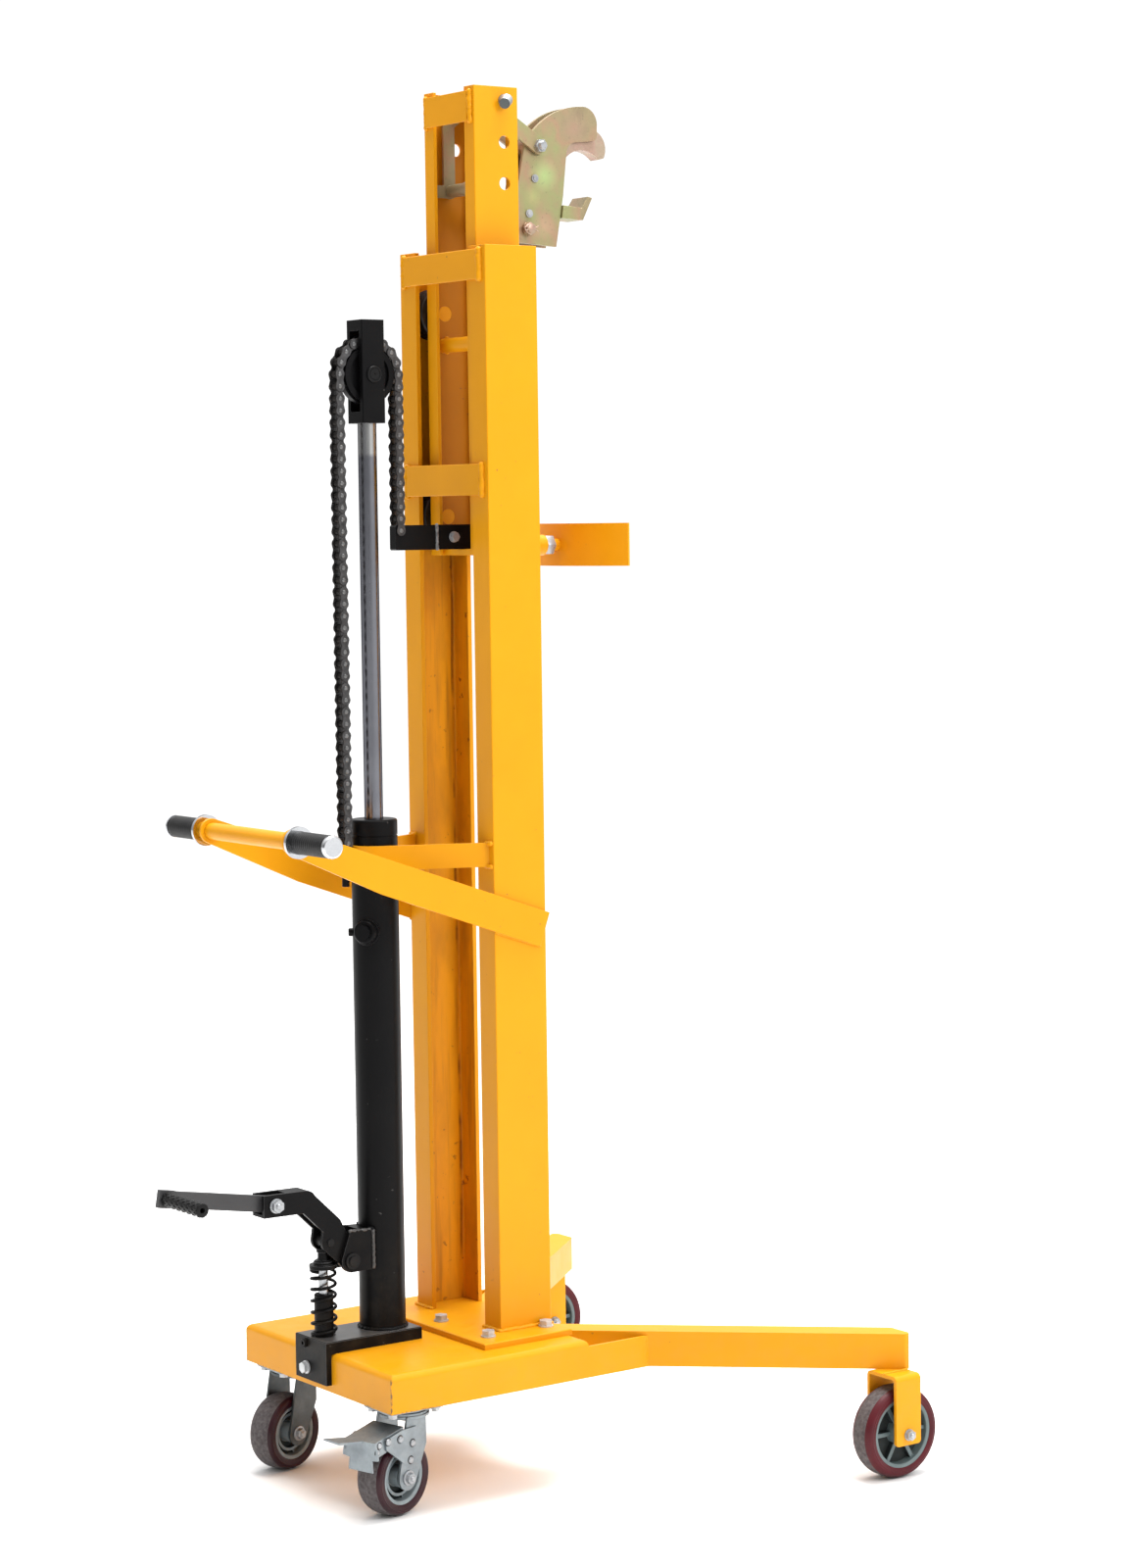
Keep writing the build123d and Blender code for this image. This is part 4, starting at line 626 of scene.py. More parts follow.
hubLook = {
    "light": (0.13, 0.17, 0.172, 1), "dark": (0.088, 0.118, 0.121, 1), "scale": 40.0,
    "spots": 0.25, "gloss": 0.45, "bump": 0.1, "metallic": 0.0, "sheen": 0.4,
}
# painted shade for the hub's pockets
hubPaintedShadeLook = {
    "light": (0.030, 0.036, 0.036, 1), "dark": (0.018, 0.022, 0.022, 1), "scale": 40.0,
    "spots": 0.3, "gloss": 0.6, "bump": 0.1, "metallic": 0.0, "sheen": 0.2,
}
casterHubLook = {
    "light": (0.26, 0.30, 0.315, 1), "dark": (0.17, 0.20, 0.212, 1), "scale": 44.0,
    "spots": 0.3, "gloss": 0.42, "bump": 0.1, "metallic": 0.0, "sheen": 0.4,
}
treadLook = {
    "light": (0.085, 0.0095, 0.014, 1), "dark": (0.055, 0.0065, 0.010, 1), "scale": 30.0,
    "spots": 0.15, "gloss": 0.40, "bump": 0.08, "metallic": 0.0, "sheen": 0.18,
}
casterTreadLook = {
    "light": (0.036, 0.006, 0.011, 1), "dark": (0.019, 0.004, 0.007, 1), "scale": 30.0,
    "spots": 0.2, "gloss": 0.33, "bump": 0.08, "metallic": 0.0, "sheen": 0.25,
}
wornLook = {
    "light": (0.125, 0.112, 0.112, 1), "dark": (0.048, 0.038, 0.040, 1), "scale": 150.0,
    "spots": 0.5, "gloss": 0.74, "bump": 0.6, "metallic": 0.0, "sheen": 0.25,
}
rubberLook = {
    "light": (0.008, 0.008, 0.009, 1), "dark": (0.015, 0.0145, 0.014, 1), "scale": 35.0,
    "spots": 0.2, "gloss": 0.5, "bump": 0.25, "metallic": 0.0, "sheen": 0.3,
}

deckLook = {**yellowLook, "corner": (-0.291, 0.223, 0.172)}
# painted shade: the inside of the lifting channels, painted darker where little light reaches
insideShadeLook = {**yellowLook, "paint": (0.47, 0.17, 0.0028, 1), "shade": (0.40, 0.14, 0.0024, 1)}

yellowPaint = paint("yellowPaint", yellowLook)
deckPaint = paint("deckPaint", deckLook)
insideShadePaint = paint("insideShadePaint", insideShadeLook)
mastPaint = paint("mastPaint", yellowLook, rub=True)
blackPaint = paint("blackPaint", blackLook)
wornBlack = paint("wornBlack", wornBlackLook)
oilAndSheenBlack = paint("oilAndSheenBlack", oilAndSheenBlackLook)
pinBlack = paint("pinBlack", pinBlackLook)
edgeHighlightBlack = paint("edgeHighlightBlack", edgeHighlightBlackLook)
brightZinc = metal("brightZinc", zincLook)
whiteZinc = metal("whiteZinc", whiteZincLook)
boltZinc = metal("boltZinc", boltZincLook)
shadedZinc = metal("shadedZinc", shadedZincLook)
chainFace = metal("chainFace", chainFaceLook)
darkSteelAndPaintedShade = metal("darkSteelAndPaintedShade", darkSteelAndPaintedShadeLook)
chainPin = metal("chainPin", chainPinLook)
plungerSteel = metal("plungerSteel", plungerLook)
weldScuff = metal("weldScuff", weldScuffLook)
gripChrome = metal("gripChrome", chromeLook)
hubPlastic = metal("hubPlastic", hubLook)
casterHubPlastic = metal("casterHubPlastic", casterHubLook)
hubPaintedShade = metal("hubPaintedShade", hubPaintedShadeLook)
treadSkin = metal("treadSkin", treadLook)
casterTreadSkin = metal("casterTreadSkin", casterTreadLook)
wornTread = metal("wornTread", wornLook)
gripRubber = metal("gripRubber", rubberLook)


def rodFinish(name, settings):
    # ground rod with upright draw lines, rubbed bright just under the yoke
    material = metal(name, settings)
    tree = material.node_tree
    shader = tree.nodes["Principled BSDF"]
    where = objectPlace(tree)
    height = splitPlace(tree, where)[2]
    drawn = noiseAt(tree, stretched(tree, where, settings["drawn"]), 1.0)
    plain = shader.inputs["Base Color"].links[0].from_socket
    lined = blendColour(tree, remap(tree, drawn, *settings["lines"]), plain, settings["lineColour"])
    band = remap(tree, height, *settings["band"])
    bright = reckon(tree, "MULTIPLY", band, remap(tree, drawn, *settings["bandRub"]))
    tree.links.new(blendColour(tree, bright, lined, settings["bandColour"]), shader.inputs["Base Color"])
    # ground smooth: an even gloss and no bump
    for label in ("Roughness", "Normal"):
        tree.links.remove(shader.inputs[label].links[0])
    shader.inputs["Roughness"].default_value = settings["gloss"]
    return material


rodChrome = rodFinish("rodChrome", rodLook)

# places and reaches of the blooms in metres
plateLook = {
    "scale": 16.0, "stretch": (1.0, 1.0, 0.7), "spots": 0.35, "gloss": 0.38, "metallic": 0.45, "bump": 0.06,
    "stops": [
        (0.26, (0.215, 0.17, 0.095, 1)), (0.42, (0.275, 0.22, 0.12, 1)), (0.50, (0.325, 0.21, 0.125, 1)),
        (0.57, (0.285, 0.24, 0.12, 1)), (0.65, (0.26, 0.265, 0.115, 1)), (0.75, (0.285, 0.215, 0.12, 1)),
    ],
    "blooms": [
        ((0.174, -0.018, 2.112), 0.034, (0.37, 0.60, 0.22, 1)),
        ((0.152, -0.018, 2.078), 0.024, (0.38, 0.45, 0.15, 1)),
        ((0.172, -0.018, 2.030), 0.026, (0.46, 0.315, 0.195, 1)),
        ((0.237, -0.018, 2.190), 0.030, (0.335, 0.205, 0.15, 1)),
    ],
    "ragged": 0.05, "fade": 0.025, "core": 0.4, "strength": 0.75,
}
beakLook = {
    "scale": 22.0, "stretch": (1.0, 1.0, 1.0), "spots": 0.2, "gloss": 0.32, "metallic": 0.5, "bump": 0.06,
    "stops": [
        (0.30, (0.31, 0.215, 0.145, 1)), (0.45, (0.40, 0.26, 0.20, 1)), (0.55, (0.37, 0.29, 0.205, 1)),
        (0.65, (0.40, 0.255, 0.20, 1)), (0.75, (0.31, 0.255, 0.18, 1)),
    ],
    "blooms": [],
}


def passivate(name, settings):
    # yellow passivated zinc: beige, pink and green drift over one another
    material, tree, shader = startMaterial(name, Metallic=settings["metallic"])
    where = objectPlace(tree)
    slow = noiseAt(tree, stretched(tree, where, settings["stretch"]), settings["scale"], 3, 0.5)
    ramp = addNode(tree, "ShaderNodeValToRGB")
    tree.links.new(slow, ramp.inputs["Fac"])
    stops = ramp.color_ramp.elements
    while len(stops) < len(settings["stops"]):
        stops.new(0.5)
    for stop, (place, colour) in zip(stops, settings["stops"]):
        stop.position = place
        stop.color = colour
    colour = ramp.outputs["Color"]
    for place, reach, tint in settings["blooms"]:
        away = addNode(tree, "ShaderNodeVectorMath", operation="DISTANCE")
        tree.links.new(where, away.inputs[0])
        away.inputs[1].default_value = place
        uneven = reckon(tree, "MULTIPLY", slow, settings["ragged"])
        ragged = reckon(tree, "ADD", away.outputs["Value"], uneven)
        outer, inner = reach + settings["fade"], settings["core"] * reach
        colour = blendColour(tree, remap(tree, ragged, outer, inner, 0.0, settings["strength"]), colour, tint)
    skin = placeGroup(tree, metalSkin, Spots=settings["spots"], Gloss=settings["gloss"])
    for label in ("Light", "Dark"):
        tree.links.new(colour, skin.inputs[label])
    wearSkin(tree, skin, shader, skin.outputs["Color"], settings["bump"], bumpDepth["metal"])
    return material


yellowZinc = passivate("yellowZinc", plateLook)
copperZinc = passivate("copperZinc", beakLook)
print("materials ready")

# CAD pieces whose edges are broken as on the real sheet and bar, by so many mm

edgeBreak = {
    "base_deck": (0.5, deckPaint, "yellow_paint"),
    "leg_left": (1.6, yellowPaint, "yellow_paint"),
    "leg_right": (1.6, yellowPaint, "yellow_paint"),
    "fork_left": (0.9, yellowPaint, "yellow_paint"),
    "fork_right": (0.9, yellowPaint, "yellow_paint"),
    "mast_foot_plate": (0.4, yellowPaint, "yellow_paint"),
    "mast_channel_left": (0.9, mastPaint, "yellow_paint"),
    "mast_channel_right": (0.9, mastPaint, "yellow_paint"),
    "mast_crossbars": (0.5, yellowPaint, "yellow_paint"),
    "cylinder_stays": (0.8, yellowPaint, "yellow_paint"),
    "handle_arms": (0.9, yellowPaint, "yellow_paint"),
    "inner_channel_left": (0.9, yellowPaint, "yellow_paint"),
    "inner_channel_right": (0.9, yellowPaint, "yellow_paint"),
    "inner_crossbars": (0.8, yellowPaint, "yellow_paint"),
    "drum_rest": (0.8, yellowPaint, "yellow_paint"),
    "pump_base": (0.5, blackPaint, "black_paint"),
    "pulley_yoke": (0.7, blackPaint, "black_paint"),
    "chain_bracket": (0.8, blackPaint, "black_paint"),
    "cylinder_brackets": (0.7, blackPaint, "black_paint"),
    "pedal_lever": (1.0, blackPaint, "black_paint"),
    "pedal_arm": (0.9, wornBlack, "black_paint"),
    "lever_pins": (0.5, pinBlack, "black_paint"),
    "pump_plunger": (0.6, blackPaint, "black_paint"),
    "deck_bolts": (0.6, boltZinc, "zinc_plate"),
    "carriage_pins": (0.8, whiteZinc, "zinc_plate"),
    "caster_plates": (0.6, brightZinc, "zinc_plate"),
    # painted shade: the left fork takes darker zinc than the right one, for the shade under the deck
    "caster_left_fork": (0.8, shadedZinc, "zinc_plate"),
    "caster_right_fork": (0.8, brightZinc, "zinc_plate"),
    "brake_pedal": (0.6, brightZinc, "zinc_plate"),
    "grip_links": (0.6, yellowZinc, "yellow_zinc"),
    "grip_head_plates": (0.7, yellowZinc, "yellow_zinc"),
    "grip_jaw": (0.8, yellowZinc, "yellow_zinc"),
    "grip_lower_link": (0.6, yellowZinc, "yellow_zinc"),
    "grip_beak": (1.2, copperZinc, "yellow_zinc"),
}

bodyOf = {}
for bodyName, members in frame["record"]["behaviour"]["bodies"].items():
    for member in members:
        bodyOf[member] = bodyName

edgeCare = {"merge": 0.02, "flat": 1.5, "corner": 38, "segments": 3, "sliver": 0.002, "smooth": 40}


def breakEdges(node, width, material, slotName):
    twin = copyAt(nodes[node], Matrix.Identity(4), "soft_" + node)
    pickOnly(twin)
    bpy.ops.object.mode_set(mode="EDIT")
    bpy.ops.mesh.select_all(action="SELECT")
    bpy.ops.mesh.customdata_custom_splitnormals_clear()
    bpy.ops.mesh.remove_doubles(threshold=edgeCare["merge"] * mm)
    bpy.ops.mesh.dissolve_limited(angle_limit=math.radians(edgeCare["flat"]), delimit=set())
    bpy.ops.object.mode_set(mode="OBJECT")
    # painted highlight: the broken edges of black paint take a lighter, glossier black
    finishes = [material, edgeHighlightBlack] if material is blackPaint else [material]
    setFinish(twin, *finishes)
    bevelEdges(
        twin, width, edgeCare["segments"], edgeCare["corner"],
        miter_outer="MITER_ARC", use_clamp_overlap=True, material=len(finishes) - 1,
    )
    smooth(cleanMesh(twin, edgeCare["sliver"]), edgeCare["smooth"], flatFaces=True)
    return fitMixed(twin, bodyOf[node], slotName, node)


softened = {}
for node, (width, material, slotName) in edgeBreak.items():
    softened[node] = breakEdges(node, width, material, slotName)
print("edges broken on", len(edgeBreak), "pieces")

# pieces with a second finish on some of their faces


def repaint(obj, material, test):
    # faces whose middle passes the test take the finish
    obj.data.materials.append(material)
    index = len(obj.data.materials) - 1
    for face in obj.data.polygons:
        if test(face.center):
            face.material_index = index


def nearAxis(at, axis, near):
    # closer than that to a line along Y through (x, z)
    return math.hypot(at.x - axis[0] * mm, at.z - axis[1] * mm) < near * mm


foldBolt = {"at": (-370.0, 479.0), "near": 20.0}
headNut = {"at": (160.0, 2159.0), "near": 12.0, "from": 27.2}
carriagePins = {"rollerTop": 2000.0, "inside": 62.5, "hanger": (59.0, 2221.0), "hangerRadius": 11.5}
hangerEnd = {"at": (59.0, -80.5, 2221.0), "out": (-0.67, -0.59, -0.46), "far": 14.4}
innerWeb = {"half": 68.0, "rear": 8.0, "front": 79.0}
pumpTop = 253.6
plungerCapLow = 363.0


def onLinkPins(at):
    # the pins inside the carriage, apart from the hanger
    inside = at.z > carriagePins["rollerTop"] * mm and abs(at.y) < carriagePins["inside"] * mm
    return inside and not nearAxis(at, carriagePins["hanger"], carriagePins["hangerRadius"])


def onHangerShadedSide(at):
    # painted shade: the lower side of the hanger's free end in darker zinc
    away = at - Vector(hangerEnd["at"]) * mm
    far = hangerEnd["far"] * mm
    return away.dot(Vector(hangerEnd["out"]).normalized()) > far and away.length < 2 * far


def onHeadNut(at):
    return abs(at.y) > headNut["from"] * mm and nearAxis(at, headNut["at"], headNut["near"])


def onInnerWeb(at):
    return abs(at.y) < innerWeb["half"] * mm and innerWeb["rear"] * mm < at.x < innerWeb["front"] * mm


repaint(softened["lever_pins"], whiteZinc, lambda at: nearAxis(at, foldBolt["at"], foldBolt["near"]))
repaint(softened["carriage_pins"], yellowPaint, lambda at: at.z < carriagePins["rollerTop"] * mm)
repaint(softened["carriage_pins"], yellowZinc, onLinkPins)
repaint(softened["carriage_pins"], shadedZinc, onHangerShadedSide)
repaint(softened["grip_links"], whiteZinc, onHeadNut)
# oily top of the pump base with a painted highlight: its upward faces in a lighter black than its sides
repaint(softened["pump_base"], oilAndSheenBlack, lambda at: at.z > pumpTop * mm)
repaint(softened["pump_plunger"], plungerSteel, lambda at: at.z < plungerCapLow * mm)
# painted shade on the inside of each inner channel's web
for side in ("left", "right"):
    repaint(softened["inner_channel_" + side], insideShadePaint, onInnerWeb)

plainNodes = {
    "cylinder_tube": blackPaint, "cylinder_head": blackPaint, "pump_barrel": blackPaint,
    "release_screw": blackPaint, "handle_tube": yellowPaint, "grip_fittings": gripChrome,
    "piston_rod": rodChrome, "chain_pulley": blackPaint,
    "guide_rollers_upper": darkSteelAndPaintedShade, "guide_rollers_lower": darkSteelAndPaintedShade, "grip_pins": whiteZinc,
}
for node, material in plainNodes.items():
    setFinish(nodes[node], material)

# wheels: bonded tread, worn running band, moulded hub

frontWheel = {
    "radius": 75.0, "width": 46.0, "rimRadius": 57.0, "boss": 20.0, "spokes": 6, "ribs": 0, "worn": 0.30,
    "tread": treadSkin, "hub": hubPlastic, "at": (498.032, 494.971, 75.0),
}
casterWheel = {
    "radius": 62.5, "width": 48.0, "rimRadius": 44.0, "boss": 17.0, "spokes": 0, "ribs": 6, "worn": 0.36,
    "tread": casterTreadSkin, "hub": casterHubPlastic,
}
# ring and shoulder as shares of the radius, lip and crown as shares of the width
treadShape = {
    "lip": 4.0, "lipHalf": 0.47, "ring": (0.84, 0.845, 0.862, 0.867), "ringHalf": 0.512, "shoulder": 0.90,
    "crownHalf": 0.48, "crownSteps": 10, "crownDrop": 0.085, "crownPower": 3.2,
    "around": 96, "edge": 1.2, "wornFrom": 0.93,
}
# heights and depths as shares of the width, the rest in mm
hubShape = {
    "bore": 6.2, "bossHalf": 0.47, "webHalf": 0.1, "wall": 6.0, "wallHalf": 0.43, "lip": 3.5, "lipHalf": 0.46,
    "sunk": 1.0, "around": 80, "edge": 0.8, "shadeDeep": 0.15, "shadeGaps": (1.0, 6.5),
    "spokeThick": 7.0, "spokeTall": 0.62, "spokeShort": 4.0, "spokeSunk": 1.0, "spokeEdge": 1.2,
    "ringAt": 0.45, "ringThick": 5.0, "ringHalf": 0.3, "ribThick": 3.5, "ribTall": 0.44, "ribEdge": 0.8,
}


def treadPiece(name, settings):
    shape = treadShape
    r, w, rim = settings["radius"], settings["width"], settings["rimRadius"]
    ringStart, ringUp, ringDown, ringEnd = (r * share for share in shape["ring"])
    face, raised = 0.5 * w, shape["ringHalf"] * w
    side = [
        (shape["shoulder"] * r, face), (ringEnd, face), (ringDown, raised), (ringUp, raised),
        (ringStart, face), (rim + shape["lip"], face), (rim, shape["lipHalf"] * w),
    ]
    crown = []
    for k in range(shape["crownSteps"] + 1):
        across = shape["crownHalf"] * (2 * k / shape["crownSteps"] - 1)
        drop = abs(2 * across) ** shape["crownPower"]
        crown.append((r * (1 - shape["crownDrop"] * drop), across * w))
    tread = turned(name, below(side) + crown + side + [(rim, 0)], shape["around"])
    bevelEdges(tread, shape["edge"], segments=2, angle=35)
    return smooth(cleanMesh(tread), angle=40)


def spreadRound(piece, count, offset=0.0):
    # copies of one piece, evenly around the axle
    copies = []
    for k in range(count):
        turn = Matrix.Rotation(2 * math.pi * (k + offset) / count, 4, "Z")
        copies.append(copyAt(piece, turn, piece.name))
    dropPiece(piece)
    return copies


def hubPiece(name, settings):
    shape = hubShape
    w, rim, boss = settings["width"], settings["rimRadius"], settings["boss"]
    wall = rim - shape["wall"]
    side = [
        (rim + shape["sunk"], shape["lipHalf"] * w), (rim - shape["lip"], shape["lipHalf"] * w),
        (wall, shape["wallHalf"] * w), (wall, shape["webHalf"] * w), (boss, shape["webHalf"] * w),
        (boss, shape["bossHalf"] * w), (shape["bore"], shape["bossHalf"] * w),
    ]
    parts = [turned(name, below(side) + side, shape["around"])]
    if settings["spokes"]:
        reach = rim - shape["spokeShort"] - boss
        size = (reach, shape["spokeThick"], shape["spokeTall"] * w)
        place = (boss + reach / 2 - shape["spokeSunk"], 0, 0)
        parts += spreadRound(block("spoke", size, place, shape["spokeEdge"]), settings["spokes"])
    else:
        ring = boss + shape["ringAt"] * (rim - boss)
        near, far = ring - shape["ringThick"] / 2, ring + shape["ringThick"] / 2
        top = shape["ringHalf"] * w
        parts.append(turned("ring", [(near, -top), (far, -top), (far, top), (near, top)], shape["around"]))
        size = (rim - ring, shape["ribThick"], shape["ribTall"] * w)
        place = ((rim + ring) / 2, 0, 0)
        parts += spreadRound(block("rib", size, place, shape["ribEdge"]), settings["ribs"], 0.5)
    hub = joinAll(parts, name)
    bevelEdges(hub, shape["edge"], segments=2, angle=40)
    return smooth(hub, angle=40, flatFaces=True)


def fitWheel(name, settings, centre, axis, body, node):
    tread = setFinish(treadPiece(name + "Tread", settings), settings["tread"], wornTread)
    hub = hubPiece(name + "Hub", settings)
    band = settings["worn"] * settings["width"] * mm
    crown = treadShape["wornFrom"] * settings["radius"] * mm
    for face in tread.data.polygons:
        worn = abs(face.center.z) < band and math.hypot(face.center.x, face.center.y) > crown
        face.material_index = 1 if worn else 0
    fitMixed(placeAlong(tread, centre, axis), body, "polyurethane", node)
    fit(hub, body, "polyurethane", settings["hub"])
    # painted shade: the web deep in the pockets between the spokes takes a darker plastic
    inside = (settings["boss"] + hubShape["shadeGaps"][0]) * mm
    outside = (settings["rimRadius"] - hubShape["shadeGaps"][1]) * mm
    deep = hubShape["shadeDeep"] * settings["width"] * mm
    repaint(hub, hubPaintedShade, lambda at: abs(at.z) < deep and inside < math.hypot(at.x, at.y) < outside)
    placeAlong(hub, centre, axis)


sides = (("left", 1), ("right", -1))
caster = {"x": -232.0, "y": 166.0, "trail": 28.0, "yaw": 15.5}
casterYaw = math.radians(caster["yaw"])
casterAxis = Vector((-math.sin(casterYaw), math.cos(casterYaw), 0))
casterAhead = Vector((math.cos(casterYaw), math.sin(casterYaw), 0))
casterAxleAt = {}
frontAxleAt = {}
for side, sign in sides:
    swivel = Vector((caster["x"], sign * caster["y"], casterWheel["radius"]))
    casterAxleAt[side] = swivel - caster["trail"] * casterAhead
    x, y, z = frontWheel["at"]
    frontAxleAt[side] = Vector((x, sign * y, z))
    fitWheel(
        "front" + side.title(), frontWheel, frontAxleAt[side], (0, 1, 0),
        "wheel_front_" + side, "front_wheel_" + side,
    )
    fitWheel(
        "caster" + side.title(), casterWheel, casterAxleAt[side], casterAxis,
        "caster_wheel_" + side, f"caster_{side}_wheel",
    )
print("wheels fitted")

# roller chain

chain = {
    "pitch": 19.05, "tall": 8.4, "waist": 5.9, "plate": 2.3, "innerAt": 6.35, "outerAt": 8.75,
    "roller": 5.95, "pin": 3.4, "pinReach": 12.0, "radius": 54.8518, "backLinks": 39, "frontLinks": 13,
    "wrapLinks": 9, "travelLinks": 32, "centre": (-164.0, 1786.0),
    "arcSteps": 8, "plateEdge": 0.3, "pinEdge": 0.7, "pinEnd": 0.7, "pinAround": 14, "rollerAround": 18,
}


def chainPlate(name):
    # figure-eight outline, thick along Y
    half, tall, steps = chain["pitch"] / 2, chain["tall"], chain["arcSteps"]
    outline = []
    for way in (1, -1):
        for k in range(steps + 1):
            angle = math.pi * (k / steps - way / 2)
            outline.append((way * half + tall * math.cos(angle), tall * math.sin(angle)))
        outline.append((0, way * chain["waist"]))
    plate = cutPlate(name, outline, chain["plate"])
    return bevelEdges(plate, chain["plateEdge"], segments=1, angle=50)


def finishFaces(obj, choose):
    # bright plate faces, painted shade on the edges and rollers, brightest pin ends
    setFinish(obj, chainFace, darkSteelAndPaintedShade, chainPin)
    for face in obj.data.polygons:
        face.material_index = choose(face)


def chainLink(name, outer):
    # one link between two pins at plus and minus half a pitch along X
    reach, pinRadius = chain["pinReach"], chain["pin"]
    plate = chainPlate(name + "Plate")
    # painted shade: the plate's edges in the darker steel
    finishFaces(plate, lambda face: 0 if abs(face.normal.y) > 0.9 else 1)
    middle = (chain["outerAt"] if outer else chain["innerAt"]) + chain["plate"] / 2
    parts = []
    for way in (1, -1):
        parts.append(copyAt(plate, Matrix.Translation((0, way * middle * mm, 0)), name))
    if outer:
        side = [(pinRadius, reach - chain["pinEdge"]), (chain["pinEnd"] * pinRadius, reach), (0, reach)]
        pin = turned(name + "Pin", below(side) + side, chain["pinAround"], closed=False)
        finishFaces(pin, lambda face: 2)
    else:
        pin = prism(name + "Roller", chain["rollerAround"], chain["roller"], 2 * chain["innerAt"])
        # painted shade: the roller in the darker steel
        finishFaces(pin, lambda face: 1)
    for way in (1, -1):
        place = Matrix.Translation((way * chain["pitch"] / 2 * mm, 0, 0))
        parts.append(copyAt(pin, place @ Matrix.Rotation(math.pi / 2, 4, "X"), name))
    dropPiece(plate)
    dropPiece(pin)
    return joinAll(parts, name)


outerLink = chainLink("outerLink", True)
innerLink = chainLink("innerLink", False)


def chainPiece(name, pins, startsOuter, body, *replaced):
    parts = []
    for k, (first, last) in enumerate(zip(pins[:-1], pins[1:])):
        source = outerLink if (k % 2 == 0) == startsOuter else innerLink
        lean = math.atan2(last[1] - first[1], last[0] - first[0])
        middle = Vector(((first[0] + last[0]) / 2, 0, (first[1] + last[1]) / 2)) * mm
        parts.append(copyAt(source, Matrix.Translation(middle) @ Matrix.Rotation(-lean, 4, "Y"), name))
    run = joinAll(parts, name)
    return fitMixed(smooth(run, angle=30), body, "chain_steel", *replaced)


centreX, centreZ = chain["centre"]
pitch = chain["pitch"]
backX, frontX = centreX - chain["radius"], centreX + chain["radius"]
backPins = [(backX, centreZ - k * pitch) for k in range(chain["backLinks"], -1, -1)]
standing = chain["backLinks"] - chain["travelLinks"]
chainPiece("chainStanding", backPins[: standing + 1], True, "chassis", "chain_back_run")
climbing = chainPiece("chainClimbing", backPins[standing:], standing % 2 == 0, "chassis")
wrapPins = []
for k in range(chain["wrapLinks"] + 1):
    angle = math.pi * (1 - k / chain["wrapLinks"])
    x, z = chain["radius"] * math.cos(angle), chain["radius"] * math.sin(angle)
    wrapPins.append((centreX + x, centreZ + z))
chainPiece("chainOver", wrapPins, False, "rod", "chain_wrap")
frontPins = [(frontX, centreZ - k * pitch) for k in range(chain["frontLinks"] + 1)]
chainPiece("chainHanging", frontPins, True, "carriage", "chain_front_run")
dropPiece(outerLink)
dropPiece(innerLink)
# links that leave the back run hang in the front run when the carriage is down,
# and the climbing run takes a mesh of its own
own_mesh(climbing)
print("chain hung")

# pump spring, closed at both ends

spring = {
    "x": -275.0, "low": 254.1, "high": 362.8, "radius": 19.3, "wire": 2.7, "turns": 6.6, "dead": 0.75,
    "ease": 0.12, "around": 28, "stroke": 17.09,
}


def wireSpring(name, settings):
    points = []
    turns, dead, ease, wire = settings["turns"], settings["dead"], settings["ease"], settings["wire"]
    low, high = settings["low"] + wire, settings["high"] - wire
    steps = int(turns * settings["around"])
    for k in range(steps + 1):
        turn = turns * k / steps
        share = min(max((turn - dead / 2) / (turns - dead), 0), 1)
        share = ease * share * share * (3 - 2 * share) + (1 - ease) * share
        angle = 2 * math.pi * turn
        points.append((
            (settings["x"] + settings["radius"] * math.cos(angle)) * mm,
            settings["radius"] * math.sin(angle) * mm, (low + (high - low) * share) * mm,
        ))
    curve = bpy.data.curves.new(name, "CURVE")
    curve.dimensions = "3D"
    line = curve.splines.new("POLY")
    line.points.add(len(points) - 1)
    for spot, point in zip(line.points, points):
        spot.co = (*point, 1)
    curve.bevel_depth = wire * mm
    curve.bevel_resolution = 3
    curve.use_fill_caps = True
    obj = bpy.data.objects.new(name, curve)
    bpy.context.scene.collection.objects.link(obj)
    pickOnly(obj)
    bpy.ops.object.convert(target="MESH")
    return smooth(cleanMesh(bpy.context.view_layer.objects.active), angle=50)


coil = fit(wireSpring("returnSpring", spring), "chassis", "black_paint", blackPaint, "pump_spring")
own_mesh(coil)

# push handle grips: a flange, then ribs given as (share of the step, share of the rise)

grips = {
    "x": -391.0, "z": 1065.0, "start": 147.0, "end": 240.0, "radius": 16.6, "bore": 13.55, "around": 56,
    "flange": (1.2, 1.6), "flangeTall": 2.0, "skin": 0.3, "plainEnd": 5.0, "tip": 0.4, "tipTall": 1.0,
    "ribs": 14, "rise": 0.9, "ribShape": [(0, 0), (0.25, 0.75), (0.5, 1), (0.75, 0.75)],
}


def ribbedGrip(name, settings, sign):
    length, radius, plain = settings["end"] - settings["start"], settings["radius"], settings["plainEnd"]
    bore, skin = settings["bore"], radius + settings["skin"]
    flangeFoot, flangeTop = (radius + more for more in settings["flange"])
    outline = [(bore, 0), (flangeFoot, 0), (flangeTop, settings["flangeTall"])]
    step = (length - 2 * plain) / settings["ribs"]
    for k in range(settings["ribs"]):
        for along, out in settings["ribShape"]:
            outline.append((skin + out * settings["rise"], plain + (k + along) * step))
    tip = (radius + settings["tip"], length - settings["tipTall"])
    outline += [(skin, length - plain), tip, (bore, length)]
    grip = turned(name, outline, settings["around"])
    placeAlong(grip, (settings["x"], sign * settings["start"], settings["z"]), (0, sign, 0))
    return smooth(cleanMesh(grip), angle=50)


leftGrip = ribbedGrip("gripSleeveLeft", grips, 1)
rightGrip = ribbedGrip("gripSleeveRight", grips, -1)
fit(leftGrip, "chassis", "grip_rubber", gripRubber, "handle_grips")
fit(rightGrip, "chassis", "grip_rubber", gripRubber)

# knurled pedal bar

